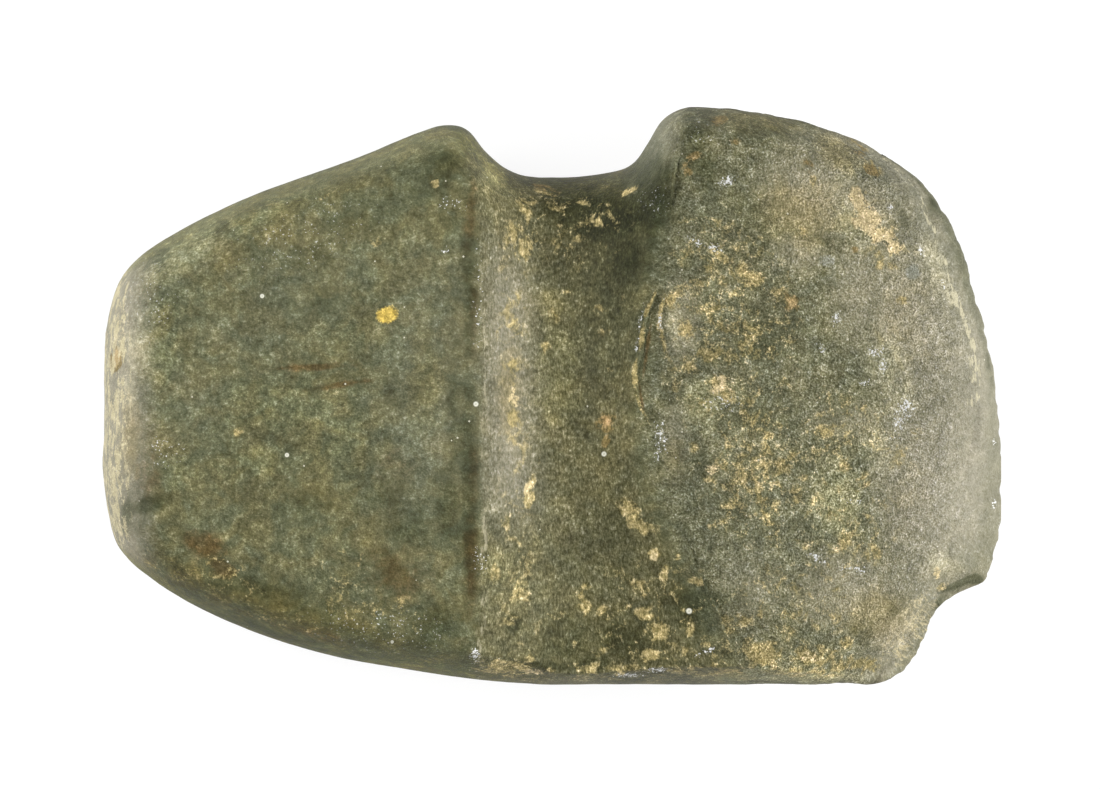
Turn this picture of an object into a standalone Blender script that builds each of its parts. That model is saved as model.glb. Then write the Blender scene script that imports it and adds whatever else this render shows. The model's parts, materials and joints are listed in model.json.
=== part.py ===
"""Polished stone axe head with a three-quarter haft groove, lying on one face.

Metres, +Z up. The length runs along X, with the blunt poll at -X and the bit's edge at +X. The deep
notch of the groove opens towards +Y, and the back that no groove crosses faces -Y. The origin lies on
the table, under the middle of the object's box.

The stone is one solid. Its plan is a closed curve through the points of OUTLINE. Lines of points run
across it from the back to the notched side, and follow the crests and the floor of the groove. Each
point is raised to the front face and lowered to the rear face by the same profile rules.
"""

import math

import bmesh
import bpy
import numpy as np

# Sizes along the stone and across it
POLL_LENGTH = 0.0587  # from the poll's end to the groove's crest
GROOVE_WIDTH = 0.0250  # from crest to crest, halfway across the face
BIT_LENGTH = 0.0563  # from the groove's crest to the edge
WAIST = 0.0790  # from the back to the floor of the notch
NOTCH_DEPTH = 0.0110  # from the floor of the notch to the bit's shoulder

# The outline and the crests are drawn in shares of a drawing that runs from -0.5 to 0.5 both ways. The
# sizes above lie between these places on it.
DRAWN_ALONG = (-0.5, -0.081, 0.098, 0.5)
DRAWN_ACROSS = (-0.5, 0.3775, 0.5)

# Half thickness, from the widest outline up to the front face
POLL_END_RISE = 0.0205
POLL_CREST_RISE = 0.0262
BIT_CREST_RISE = 0.0270
BEVEL_RISE = 0.0070
REAR_BULGE = 0.0004  # the rear face lies this much further out
REST_WEAR = 0.0014  # taken off the rear's highest crest by the flat that it rests on
CROWN = 0.12  # share of the rise that both faces lose towards the sides
POLL_SWELL = 1.9  # how soon the poll's face levels out
BIT_SWELL = 1.7  # how late the bit's face drops away

# Haft groove
GROOVE_DEPTH = 0.0062
GROOVE_DEEPENING = 0.30  # share of the depth added on the way into the notch
DEEPENING_START = 0.70  # share of the way from the back to the notch
POLL_WALL_ROUNDING = 1.35  # 1 leaves the groove's crest sharp, and 2 rounds it over
BIT_WALL_ROUNDING = 1.6

# Rows and lines of points
ROWS = 38
POLL_LINES = 16
GROOVE_LINES = 8
BIT_LINES = 15
BEVEL_LINES = 7
CROWDING = 0.75  # 0 spaces them evenly, and 1 crowds them at the crests and the outline
CURVE_STEPS = 14  # points along a curve for each point that it is drawn through
EDGE_BLEND = 0.004  # length along the outline over which one edge profile passes into the next

# Each stretch of the outline, counter-clockwise from the poll's end as seen from below, has its own
# edge: how far the rounding reaches in, the half height of the upright band at the outline, and the
# roundness of the profile (2 is an ellipse, nearer 1 a bevel). Its points are shares from the middle.
OUTLINE = {
    "poll_end": {
        "reach": 0.0080,
        "band": 0.0050,
        "roundness": 2.0,
        "points": [
            (-0.480, -0.268),
            (-0.4935, -0.210),
            (-0.500, -0.125),
            (-0.499, -0.050),
            (-0.498, 0.078),
            (-0.491, 0.155),
        ],
    },
    "poll_side": {
        "reach": 0.0065,
        "band": 0.0040,
        "roundness": 2.1,
        "points": [
            (-0.473, 0.217),
            (-0.425, 0.274),
            (-0.332, 0.345),
            (-0.223, 0.407),
            (-0.146, 0.456),
            (-0.114, 0.467),
            (-0.093, 0.457),
        ],
    },
    "notch": {
        "reach": 0.0065,
        "band": 0.0050,
        "roundness": 2.0,
        "points": [
            (-0.0735, 0.421),
            (-0.050, 0.391),
            (-0.022, 0.3775),
            (0.026, 0.3775),
            (0.070, 0.387),
            (0.091, 0.402),
            (0.106, 0.435),
        ],
    },
    "bit_shoulder": {
        "reach": 0.0055,
        "band": 0.0040,
        "roundness": 2.0,
        "points": [
            (0.122, 0.475),
            (0.143, 0.496),
            (0.169, 0.500),
            (0.231, 0.491),
            (0.291, 0.469),
            (0.338, 0.443),
        ],
    },
    "bit_upper": {
        "reach": 0.0036,
        "band": 0.0014,
        "roundness": 1.6,
        "points": [(0.369, 0.415), (0.396, 0.387), (0.420, 0.353), (0.447, 0.284)],
    },
    "bit_middle": {
        "reach": 0.0030,
        "band": 0.0012,
        "roundness": 1.5,
        "points": [(0.468, 0.178), (0.483, 0.095), (0.493, 0.009)],
    },
    "bit_lower": {
        "reach": 0.0085,
        "band": 0.0012,
        "roundness": 1.4,
        "points": [(0.4995, -0.112), (0.498, -0.216), (0.490, -0.279), (0.480, -0.3215)],
    },
    "corner_chip": {
        "reach": 0.0055,
        "band": 0.0025,
        "roundness": 1.4,
        "points": [(0.452, -0.344), (0.427, -0.375), (0.414, -0.420), (0.397, -0.467)],
    },
    "back": {
        "reach": 0.0032,
        "band": 0.0090,
        "roundness": 1.3,
        "points": [(0.376, -0.490), (0.349, -0.500), (0.298, -0.500), (0.053, -0.500)],
    },
    "groove_back": {
        "reach": 0.0048,
        "band": 0.0070,
        "roundness": 1.6,
        "points": [(-0.014, -0.500), (-0.083, -0.492)],
    },
    "poll_back": {
        "reach": 0.0062,
        "band": 0.0050,
        "roundness": 2.0,
        "points": [
            (-0.161, -0.474),
            (-0.239, -0.453),
            (-0.316, -0.419),
            (-0.394, -0.367),
            (-0.448, -0.315),
        ],
    },
}

# Where the four sides of the mesh meet: the first point of these stretches
SIDE_STARTS = ("poll_end", "poll_side", "bit_upper", "back")

# Lines across the face, as (share of the way from the back to the notched side, share of the length)
POLL_CREST = [(0, -0.092), (0.2, -0.083), (0.5, -0.081), (0.8, -0.084), (1, -0.106)]
GROOVE_FLOOR = [(0, 0.045), (0.2, 0.026), (0.5, 0.012), (0.75, 0.008), (1, 0.004)]
BIT_CREST = [
    (0, 0.212),
    (0.16, 0.165),
    (0.36, 0.113),
    (0.5, 0.098),
    (0.68, 0.110),
    (0.85, 0.128),
    (1, 0.141),
]
BEVEL_CREST = [
    (0, 0.356),
    (0.17, 0.428),
    (0.35, 0.452),
    (0.56, 0.476),
    (0.71, 0.452),
    (0.91, 0.406),
    (1, 0.345),
]


def smooth_curve(points, closed):
    """A Catmull-Rom curve through the points."""
    points = np.array(points, float)
    if closed:
        before, after, after_next = (np.roll(points, -shift, axis=0) for shift in (-1, 1, 2))
    else:
        padded = np.vstack([2 * points[0] - points[1], points, 2 * points[-1] - points[-2]])
        before, points, after, after_next = padded[:-3], padded[1:-2], padded[2:-1], padded[3:]
    t = (np.arange(CURVE_STEPS) / CURVE_STEPS)[None, :, None]
    p0, p1, p2, p3 = (p[:, None, :] for p in (before, points, after, after_next))
    curve = 0.5 * (
        2 * p1
        + (p2 - p0) * t
        + (2 * p0 - 5 * p1 + 4 * p2 - p3) * t**2
        + (3 * p1 - p0 - 3 * p2 + p3) * t**3
    )
    curve = curve.reshape(-1, points.shape[1])
    return curve if closed else np.vstack([curve, after[-1]])


def crowded_shares(count):
    """Shares from 0 to 1, closer together at both ends."""
    even = np.linspace(0, 1, count + 1)
    crowded = (1 - np.cos(math.pi * even)) / 2
    return even + CROWDING * (crowded - even)


def along_stone(share):
    """X of a share of the drawing's length."""
    ends = np.cumsum([0, POLL_LENGTH, GROOVE_WIDTH, BIT_LENGTH])
    return np.interp(share, DRAWN_ALONG, ends - ends[-1] / 2)


def across_stone(share):
    """Y of a share of the drawing's width."""
    ends = np.cumsum([0, WAIST, NOTCH_DEPTH])
    return np.interp(share, DRAWN_ACROSS, ends - ends[-1] / 2)


class Outline:
    """The stone seen from above, with the edge profile at each of its points."""

    def __init__(self):
        points = [p for stretch in OUTLINE.values() for p in stretch["points"]]
        drawn = smooth_curve(points, closed=True)
        self.curve = np.column_stack([along_stone(drawn[:, 0]), across_stone(drawn[:, 1])])
        self.sides = self.four_sides()
        edges = []
        for stretch in OUTLINE.values():
            edge = (stretch["reach"], stretch["band"], stretch["roundness"])
            edges += [edge] * (len(stretch["points"]) * CURVE_STEPS)
        self.edges = np.array(edges)

    def four_sides(self):
        """The curve cut at its four mesh corners."""
        starts, count = {}, 0
        for name, stretch in OUTLINE.items():
            starts[name] = count * CURVE_STEPS
            count += len(stretch["points"])
        cuts = [starts[name] for name in SIDE_STARTS] + [len(self.curve)]
        looped = np.vstack([self.curve, self.curve[:1]])
        return {name: looped[a : b + 1] for name, a, b in zip(SIDE_STARTS, cuts, cuts[1:])}

    def across(self, side, x):
        """The outline's Y on a long side, at X."""
        line = self.sides[side]
        line = line[np.argsort(line[:, 0])]
        return np.interp(x, line[:, 0], line[:, 1])

    def end(self, side, w):
        """The outline's X at an end, at a share of the way from its lower to its upper corner."""
        line = self.sides[side]
        line = line[np.argsort(line[:, 1])]
        low, high = line[0, 1], line[-1, 1]
        return np.interp(low + w * (high - low), line[:, 1], line[:, 0])

    def edge_at(self, plan):
        """Distance to the outline, and the edge of the stretches nearest to it, for each plan point."""
        start = self.curve
        step = np.roll(start, -1, axis=0) - start
        squared = (step**2).sum(axis=1)
        offset = plan[:, None, :] - start[None, :, :]
        along = np.clip((offset * step).sum(axis=2) / squared, 0, 1)
        gaps = np.linalg.norm(offset - along[:, :, None] * step, axis=2)
        weights = np.sqrt(squared) / (gaps**2 + EDGE_BLEND**2) ** 3
        edges = weights @ self.edges / weights.sum(axis=1, keepdims=True)
        return gaps.min(axis=1), *edges.T


def station_lines(outline, w):
    """X of each line across the stone and what kind of place it is, for every share w of the way over.

    Place counts up along the stone: 0 is the poll's end, 1 the poll's crest, 2 the groove's floor, 3
    the bit's crest, 4 the bevel's crest and 5 the bit's edge.
    """
    keys = [outline.end("poll_end", w)]
    for line in (POLL_CREST, GROOVE_FLOOR, BIT_CREST, BEVEL_CREST):
        curve = smooth_curve(line, closed=False)
        keys.append(along_stone(np.interp(w, curve[:, 0], curve[:, 1])))
    keys.append(outline.end("bit_upper", w))
    lines = [keys[0]]
    places = [0.0]
    for place, count in enumerate((POLL_LINES, GROOVE_LINES, GROOVE_LINES, BIT_LINES, BEVEL_LINES)):
        for share in crowded_shares(count)[1:]:
            lines.append(keys[place] + share * (keys[place + 1] - keys[place]))
            places.append(place + share)
    return np.array(lines), np.array(places)


def rise_along(place):
    """Half thickness of the crown at a place along the stone, with no groove and no crown across."""
    to_crest = 1 - np.clip(place, 0, 1)
    across_groove = np.clip((place - 1) / 2, 0, 1)
    to_bevel = np.clip(place - 3, 0, 1)
    poll = POLL_CREST_RISE - (POLL_CREST_RISE - POLL_END_RISE) * to_crest**POLL_SWELL
    groove = (BIT_CREST_RISE - POLL_CREST_RISE) * across_groove
    bit = (BEVEL_RISE - BIT_CREST_RISE) * to_bevel**BIT_SWELL
    return poll + groove + bit


def groove_depth(place, w):
    """Depth of the haft groove: crisp on the poll's side, softly rounded over on the bit's side."""
    away = np.clip(np.abs(place - 2), 0, 1)
    rounding = np.where(place < 2, POLL_WALL_ROUNDING, BIT_WALL_ROUNDING)
    shape = np.cos(math.pi / 2 * away) ** rounding
    into_notch = np.clip((w - DEEPENING_START) / (1 - DEEPENING_START), 0, 1) ** 2
    return GROOVE_DEPTH * shape * (1 + GROOVE_DEEPENING * into_notch)


def face_height(outline, x, y, place, w):
    """Height of a face above the widest outline, at each point of the plan."""
    gap, reach, band, roundness = outline.edge_at(np.column_stack([x, y]))
    rise = rise_along(place) * (1 - CROWN * (2 * w - 1) ** 2)
    rise = rise - groove_depth(place, w)
    inward = 1 - np.clip(gap / reach, 0, 1)
    return band + (rise - band) * (1 - inward**roundness) ** (1 / roundness), band


def stone_mesh():
    """The two faces as grids of points, closed by the upright band round the outline."""
    outline = Outline()
    w_rows = crowded_shares(ROWS)
    lines, places = station_lines(outline, w_rows)
    back = outline.across("back", lines[:, 0])
    notched = outline.across("poll_side", lines[:, -1])
    x = lines
    y = back[:, None] + w_rows[None, :] * (notched - back)[:, None]
    place, w = np.broadcast_arrays(places[:, None], w_rows[None, :])
    height, band = face_height(outline, x.ravel(), y.ravel(), place.ravel(), w.ravel())
    height, band = height.reshape(x.shape), band.reshape(x.shape)
    rim = np.zeros(x.shape, bool)
    rim[0], rim[-1], rim[:, 0], rim[:, -1] = True, True, True, True
    height = np.where(rim, band, height)
    middle = BIT_CREST_RISE + REAR_BULGE - REST_WEAR
    front = middle + height
    rear = np.maximum(middle - height - np.where(rim, 0, REAR_BULGE), 0)

    mesh = bmesh.new()
    last_i, last_j = x.shape[0] - 1, x.shape[1] - 1
    ring = [(i, 0) for i in range(last_i)]
    ring += [(last_i, j) for j in range(last_j)]
    ring += [(i, last_j) for i in range(last_i, 0, -1)]
    ring += [(0, j) for j in range(last_j, 0, -1)]
    rims = []
    for z in (front, rear):
        spots = np.stack([x, y, z], axis=2)
        grid = [[mesh.verts.new(spot) for spot in line] for line in spots]
        for i in range(last_i):
            for j in range(last_j):
                mesh.faces.new([grid[i][j], grid[i + 1][j], grid[i + 1][j + 1], grid[i][j + 1]])
        rims.append([grid[i][j] for i, j in ring])
    upper, lower = rims
    for k, after in enumerate([*range(1, len(ring)), 0]):
        mesh.faces.new([upper[k], lower[k], lower[after], upper[after]])
    bmesh.ops.recalc_face_normals(mesh, faces=mesh.faces)
    return mesh


def stone_material():
    """Dark green-grey polished stone."""
    material = bpy.data.materials.new("polished_stone")
    material.use_nodes = True
    shader = material.node_tree.nodes["Principled BSDF"]
    shader.inputs["Base Color"].default_value = (0.150, 0.148, 0.092, 1)
    shader.inputs["Roughness"].default_value = 0.45
    shader.inputs["Metallic"].default_value = 0.0
    return material


def main():
    for old in list(bpy.data.objects):
        bpy.data.objects.remove(old)
    mesh = bpy.data.meshes.new("axe_head")
    shape = stone_mesh()
    shape.to_mesh(mesh)
    shape.free()
    mesh.materials.append(stone_material())
    mesh.shade_smooth()
    axe_head = bpy.data.objects.new("axe_head", mesh)
    bpy.context.scene.collection.objects.link(axe_head)


main()
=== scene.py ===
"""The looks of the grooved stone axe head: its fine relief, its stone, and the photograph's light and view.

The stone's form is worked out again from the same outline, crests and profile rules as the CAD solid, on
a much finer grid, and the relief is added to it. Marks are placed by the photograph's pixels, as the
camera sees them from above.
"""

import json
import math

import bpy
import numpy as np
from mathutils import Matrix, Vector

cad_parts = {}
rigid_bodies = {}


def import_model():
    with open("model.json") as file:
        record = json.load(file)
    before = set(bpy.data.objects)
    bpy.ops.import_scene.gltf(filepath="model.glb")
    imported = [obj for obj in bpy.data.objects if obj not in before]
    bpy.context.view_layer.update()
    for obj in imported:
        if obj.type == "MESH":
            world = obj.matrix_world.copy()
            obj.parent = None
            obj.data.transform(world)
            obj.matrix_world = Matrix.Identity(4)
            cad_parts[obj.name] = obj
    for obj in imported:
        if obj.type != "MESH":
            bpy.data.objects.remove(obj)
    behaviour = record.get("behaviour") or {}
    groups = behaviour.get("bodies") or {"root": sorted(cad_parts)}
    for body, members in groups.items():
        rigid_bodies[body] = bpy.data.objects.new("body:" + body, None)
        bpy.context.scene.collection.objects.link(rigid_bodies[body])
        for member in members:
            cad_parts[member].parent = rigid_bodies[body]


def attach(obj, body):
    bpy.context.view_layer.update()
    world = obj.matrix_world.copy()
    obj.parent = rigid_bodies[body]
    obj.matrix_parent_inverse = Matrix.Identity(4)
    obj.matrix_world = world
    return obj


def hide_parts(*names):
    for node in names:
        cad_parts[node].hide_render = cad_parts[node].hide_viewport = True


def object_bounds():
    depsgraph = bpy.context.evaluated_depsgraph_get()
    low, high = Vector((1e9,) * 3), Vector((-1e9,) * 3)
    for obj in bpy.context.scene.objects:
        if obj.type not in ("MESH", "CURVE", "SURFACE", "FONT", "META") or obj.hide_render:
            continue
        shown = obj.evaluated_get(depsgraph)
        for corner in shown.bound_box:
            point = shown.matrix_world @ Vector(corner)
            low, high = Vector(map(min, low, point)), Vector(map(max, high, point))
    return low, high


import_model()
cad_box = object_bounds()

# The photograph: 1100 x 789 pixels, the stone 898 x 578 of them, its middle at (552, 395)
PHOTO_SIZE = (1100, 789)
PHOTO_MIDDLE = (552, 395)
STONE_PIXELS = (898, 578)

# The form, as in the CAD source
POLL_LENGTH = 0.0587
GROOVE_WIDTH = 0.0250
BIT_LENGTH = 0.0563
WAIST = 0.0790
NOTCH_DEPTH = 0.0110
DRAWN_ALONG = (-0.5, -0.081, 0.098, 0.5)
DRAWN_ACROSS = (-0.5, 0.3775, 0.5)
POLL_END_RISE = 0.0205
POLL_CREST_RISE = 0.0262
BIT_CREST_RISE = 0.0270
BEVEL_RISE = 0.0070
REAR_BULGE = 0.0004
REST_WEAR = 0.0014
CROWN = 0.12
POLL_SWELL = 1.9
BIT_SWELL = 1.7
GROOVE_DEPTH = 0.0062
GROOVE_DEEPENING = 0.30
DEEPENING_START = 0.70
POLL_WALL_ROUNDING = 1.35
BIT_WALL_ROUNDING = 1.6
CROWDING = 0.75
EDGE_BLEND = 0.004
# stretch: (reach, band, roundness, points)
OUTLINE = {
    "poll_end": (0.0080, 0.0050, 2.0, [
        (-0.480, -0.268), (-0.4935, -0.210), (-0.500, -0.125),
        (-0.499, -0.050), (-0.498, 0.078), (-0.491, 0.155),
    ]),
    "poll_side": (0.0065, 0.0040, 2.1, [
        (-0.473, 0.217), (-0.425, 0.274), (-0.332, 0.345), (-0.223, 0.407),
        (-0.146, 0.456), (-0.114, 0.467), (-0.093, 0.457),
    ]),
    "notch": (0.0065, 0.0050, 2.0, [
        (-0.0735, 0.421), (-0.050, 0.391), (-0.022, 0.3775), (0.026, 0.3775),
        (0.070, 0.387), (0.091, 0.402), (0.106, 0.435),
    ]),
    "bit_shoulder": (0.0055, 0.0040, 2.0, [
        (0.122, 0.475), (0.143, 0.496), (0.169, 0.500),
        (0.231, 0.491), (0.291, 0.469), (0.338, 0.443),
    ]),
    "bit_upper": (0.0036, 0.0014, 1.6, [
        (0.369, 0.415), (0.396, 0.387), (0.420, 0.353), (0.447, 0.284),
    ]),
    "bit_middle": (0.0030, 0.0012, 1.5, [
        (0.468, 0.178), (0.483, 0.095), (0.493, 0.009),
    ]),
    "bit_lower": (0.0085, 0.0012, 1.4, [
        (0.4995, -0.112), (0.498, -0.216), (0.490, -0.279), (0.480, -0.3215),
    ]),
    "corner_chip": (0.0055, 0.0025, 1.4, [
        (0.452, -0.344), (0.427, -0.375), (0.414, -0.420), (0.397, -0.467),
    ]),
    "back": (0.0032, 0.0090, 1.3, [
        (0.376, -0.490), (0.349, -0.500), (0.298, -0.500), (0.053, -0.500),
    ]),
    "groove_back": (0.0048, 0.0070, 1.6, [
        (-0.014, -0.500), (-0.083, -0.492),
    ]),
    "poll_back": (0.0062, 0.0050, 2.0, [
        (-0.161, -0.474), (-0.239, -0.453), (-0.316, -0.419),
        (-0.394, -0.367), (-0.448, -0.315),
    ]),
}
SIDE_STARTS = ("poll_end", "poll_side", "bit_upper", "back")
POLL_CREST = [(0, -0.092), (0.2, -0.083), (0.5, -0.081), (0.8, -0.084), (1, -0.106)]
GROOVE_FLOOR = [(0, 0.045), (0.2, 0.026), (0.5, 0.012), (0.75, 0.008), (1, 0.004)]
BIT_CREST = [(0, 0.212), (0.16, 0.165), (0.36, 0.113), (0.5, 0.098), (0.68, 0.110), (0.85, 0.128), (1, 0.141)]
BEVEL_CREST = [
    (0, 0.356), (0.17, 0.428), (0.35, 0.452), (0.56, 0.476), (0.71, 0.452), (0.91, 0.406), (1, 0.345),
]

# The fine grid. The rear face takes every second line and row of the front.
ROWS = 204
LINE_COUNTS = (86, 50, 50, 148, 36)
BAND_ROWS = 3
CURVE_STEPS = 30

MIDDLE = BIT_CREST_RISE + REAR_BULGE - REST_WEAR
LENGTH = POLL_LENGTH + GROOVE_WIDTH + BIT_LENGTH

# Camera: straight above, far enough off for little perspective
CAMERA_HEIGHT = 2.0  # above the widest outline
PIXEL = LENGTH / STONE_PIXELS[0]
FINE_SWING = (1.0, 1.0, 1.3)  # how far the grain moves red, green and blue
BROAD_SWING = (1.05, 1.0, 0.98)
LIGHT_ON_STONE = 1.6  # times the light under which colours show as their bytes
FACE_HEIGHT = 0.050  # where the dots lie on the front face


# Form


def smooth_curve(points, closed):
    points = np.array(points, float)
    if closed:
        before, after, after_next = (np.roll(points, -shift, axis=0) for shift in (-1, 1, 2))
    else:
        padded = np.vstack([2 * points[0] - points[1], points, 2 * points[-1] - points[-2]])
        before, points, after, after_next = padded[:-3], padded[1:-2], padded[2:-1], padded[3:]
    t = (np.arange(CURVE_STEPS) / CURVE_STEPS)[None, :, None]
    p0, p1, p2, p3 = (p[:, None, :] for p in (before, points, after, after_next))
    curve = 0.5 * (
        2 * p1
        + (p2 - p0) * t
        + (2 * p0 - 5 * p1 + 4 * p2 - p3) * t**2
        + (3 * p1 - p0 - 3 * p2 + p3) * t**3
    )
    curve = curve.reshape(-1, points.shape[1])
    return curve if closed else np.vstack([curve, after[-1]])


def crowded_shares(count):
    even = np.linspace(0, 1, count + 1)
    crowded = (1 - np.cos(math.pi * even)) / 2
    return even + CROWDING * (crowded - even)


def along_stone(share):
    ends = np.cumsum([0, POLL_LENGTH, GROOVE_WIDTH, BIT_LENGTH])
    return np.interp(share, DRAWN_ALONG, ends - ends[-1] / 2)


def across_stone(share):
    ends = np.cumsum([0, WAIST, NOTCH_DEPTH])
    return np.interp(share, DRAWN_ACROSS, ends - ends[-1] / 2)


# The facet along the back is widest at one column of pixels, and narrows to a share of that away from it
FACET_COLUMN, FACET_FADE, FACET_LEAST = 705, 85, 0.55
# The bit's edge is drawn a little further out, because the chips cut into it, in pixels
EDGE_SHIFT, EDGE_WAVE, CHIP_WAVE = 1.5, 0.35, 0.9
# Small chips and bulges along the bit's edge: (pixel row, half height, depth in pixels, negative bulges)
EDGE_CHIPS = [
    (190, 14, 1.4), (208, 8, 2.2), (236, 7, 0.9), (262, 22, -1.4), (259, 4, 0.9), (283, 6, 0.8),
    (303, 4, 1.2), (318, 14, -1.2), (333, 5, 1.1), (348, 5, 1.3), (372, 12, -0.8), (377, 4, 1.0),
    (398, 7, 1.2), (414, 4, 0.6), (432, 6, 1.3), (452, 5, 0.7), (470, 16, -0.8), (490, 9, 2.6),
    (512, 14, -0.7), (529, 5, 0.9), (552, 7, 0.9), (572, 5, 1.1),
]


class Outline:
    """The stone's outline from above, its four sides, and the rounding of its rim."""

    def __init__(self):
        points = [p for stretch in OUTLINE.values() for p in stretch[3]]
        drawn = smooth_curve(points, closed=True)
        self.curve = np.column_stack([along_stone(drawn[:, 0]), across_stone(drawn[:, 1])])
        self.sides = {}
        starts, count, edges = {}, 0, []
        for name, (reach, band, roundness, drawn_points) in OUTLINE.items():
            starts[name] = count * CURVE_STEPS
            count += len(drawn_points)
            edges += [(reach, band, roundness)] * (len(drawn_points) * CURVE_STEPS)
        self.edges = np.array(edges)
        facet = slice(starts["back"], starts["groove_back"])
        columns = PHOTO_MIDDLE[0] + self.curve[facet, 0] / PIXEL
        self.edges[facet, 0] *= FACET_LEAST + (1 - FACET_LEAST) * bell(columns, FACET_COLUMN, FACET_FADE)
        first, last = starts["bit_upper"], starts["corner_chip"]
        rows = PHOTO_MIDDLE[1] - self.curve[first:last, 1] / PIXEL
        waves = np.sin(rows * 0.83) * np.sin(rows * 0.21 + 1)
        self.curve[first:last, 0] += PIXEL * (EDGE_SHIFT + EDGE_WAVE * waves)
        for row, half, depth in EDGE_CHIPS:
            dent = np.clip(1 - ((rows - row) / half) ** 2, 0, 1)
            self.curve[first:last, 0] -= depth * dent * PIXEL
        chip = slice(last, starts["back"])
        rows = PHOTO_MIDDLE[1] - self.curve[chip, 1] / PIXEL
        self.curve[chip, 0] += CHIP_WAVE * PIXEL * np.sin(rows * 0.55) * np.cos(rows * 0.23)
        cuts = [starts[name] for name in SIDE_STARTS] + [len(self.curve)]
        looped = np.vstack([self.curve, self.curve[:1]])
        self.sides = {name: looped[a : b + 1] for name, a, b in zip(SIDE_STARTS, cuts, cuts[1:])}

    def across(self, side, x):
        line = self.sides[side]
        line = line[np.argsort(line[:, 0])]
        return np.interp(x, line[:, 0], line[:, 1])

    def end(self, side, w):
        line = self.sides[side]
        line = line[np.argsort(line[:, 1])]
        low, high = line[0, 1], line[-1, 1]
        return np.interp(low + w * (high - low), line[:, 1], line[:, 0])

    def edge_at(self, plan):
        """Distance to the outline, and the edge of the stretches nearest to it, a few points at a time."""
        start = self.curve
        step = np.roll(start, -1, axis=0) - start
        squared = (step**2).sum(axis=1) + 1e-16
        length = np.sqrt(squared)
        found = []
        for part in np.array_split(plan, max(1, len(plan) // 3000)):
            dx = part[:, :1] - start[None, :, 0]
            dy = part[:, 1:] - start[None, :, 1]
            along = np.clip((dx * step[:, 0] + dy * step[:, 1]) / squared, 0, 1)
            gaps = (dx - along * step[:, 0]) ** 2 + (dy - along * step[:, 1]) ** 2
            weights = length / (gaps + EDGE_BLEND**2) ** 3
            edges = weights @ self.edges / weights.sum(axis=1, keepdims=True)
            found.append(np.column_stack([np.sqrt(gaps.min(axis=1)), edges]))
        return np.vstack(found).T


def station_lines(outline, w):
    keys = [outline.end("poll_end", w)]
    for line in (POLL_CREST, GROOVE_FLOOR, BIT_CREST, BEVEL_CREST):
        curve = smooth_curve(line, closed=False)
        keys.append(along_stone(np.interp(w, curve[:, 0], curve[:, 1])))
    keys.append(outline.end("bit_upper", w))
    lines, places = [keys[0]], [0.0]
    for place, count in enumerate(LINE_COUNTS):
        for share in crowded_shares(count)[1:]:
            lines.append(keys[place] + share * (keys[place + 1] - keys[place]))
            places.append(place + share)
    return np.array(lines), np.array(places)


def rise_along(place):
    to_crest = 1 - np.clip(place, 0, 1)
    across_groove = np.clip((place - 1) / 2, 0, 1)
    to_bevel = np.clip(place - 3, 0, 1)
    poll = POLL_CREST_RISE - (POLL_CREST_RISE - POLL_END_RISE) * to_crest**POLL_SWELL
    groove = (BIT_CREST_RISE - POLL_CREST_RISE) * across_groove
    bit = (BEVEL_RISE - BIT_CREST_RISE) * to_bevel**BIT_SWELL
    return poll + groove + bit


def groove_depth(place, w):
    away = np.clip(np.abs(place - 2), 0, 1)
    rounding = np.where(place < 2, POLL_WALL_ROUNDING, BIT_WALL_ROUNDING)
    shape = np.cos(math.pi / 2 * away) ** rounding
    into_notch = np.clip((w - DEEPENING_START) / (1 - DEEPENING_START), 0, 1) ** 2
    return GROOVE_DEPTH * shape * (1 + GROOVE_DEEPENING * into_notch)


def face_height(outline, x, y, place, w):
    gap, reach, band, roundness = outline.edge_at(np.column_stack([x, y]))
    rise = rise_along(place) * (1 - CROWN * (2 * w - 1) ** 2)
    rise = rise - groove_depth(place, w)
    inward = 1 - np.clip(gap / reach, 0, 1)
    return band + (rise - band) * (1 - inward**roundness) ** (1 / roundness), band, gap


# Noise for the relief


def lattice_value(i, j, k, seed):
    h = i * 374761393 + j * 668265263 + k * 2147483647 + seed * 974711
    h = (h ^ (h >> 13)) * 1274126177
    h = h ^ (h >> 16)
    return (h & 0xFFFF) / 0xFFFF


def noise(p, size, seed):
    """Smooth value noise from -1 to 1, with lumps of about that size."""
    q = p / size + 100
    cell = np.floor(q).astype(np.int64)
    f = q - cell
    f = f * f * (3 - 2 * f)
    total = 0
    for di in (0, 1):
        for dj in (0, 1):
            for dk in (0, 1):
                weight = (
                    np.where(di, f[:, 0], 1 - f[:, 0])
                    * np.where(dj, f[:, 1], 1 - f[:, 1])
                    * np.where(dk, f[:, 2], 1 - f[:, 2])
                )
                i, j, k = (cell + (di, dj, dk)).T
                total = total + weight * lattice_value(i, j, k, seed)
    return total * 2 - 1


def layered_noise(p, size, seed, layers=3):
    return sum(noise(p, size / 2**n, seed + 7 * n) / 2**n for n in range(layers))


def ramp(value, low, high):
    t = np.clip((value - low) / (high - low), 0, 1)
    return t * t * (3 - 2 * t)


def blob(px, py, x, y, rx, ry, turn=0.0):
    """1 in the middle of an ellipse of pixels, falling softly to 0 a little outside its rim."""
    c, s = math.cos(math.radians(turn)), math.sin(math.radians(turn))
    u = ((px - x) * c + (py - y) * s) / rx
    v = (-(px - x) * s + (py - y) * c) / ry
    return np.clip(1.25 - np.hypot(u, v), 0, 1)


def bell(value, middle, width):
    return np.exp(-(((value - middle) / width) ** 2))


# Mesh


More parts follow.
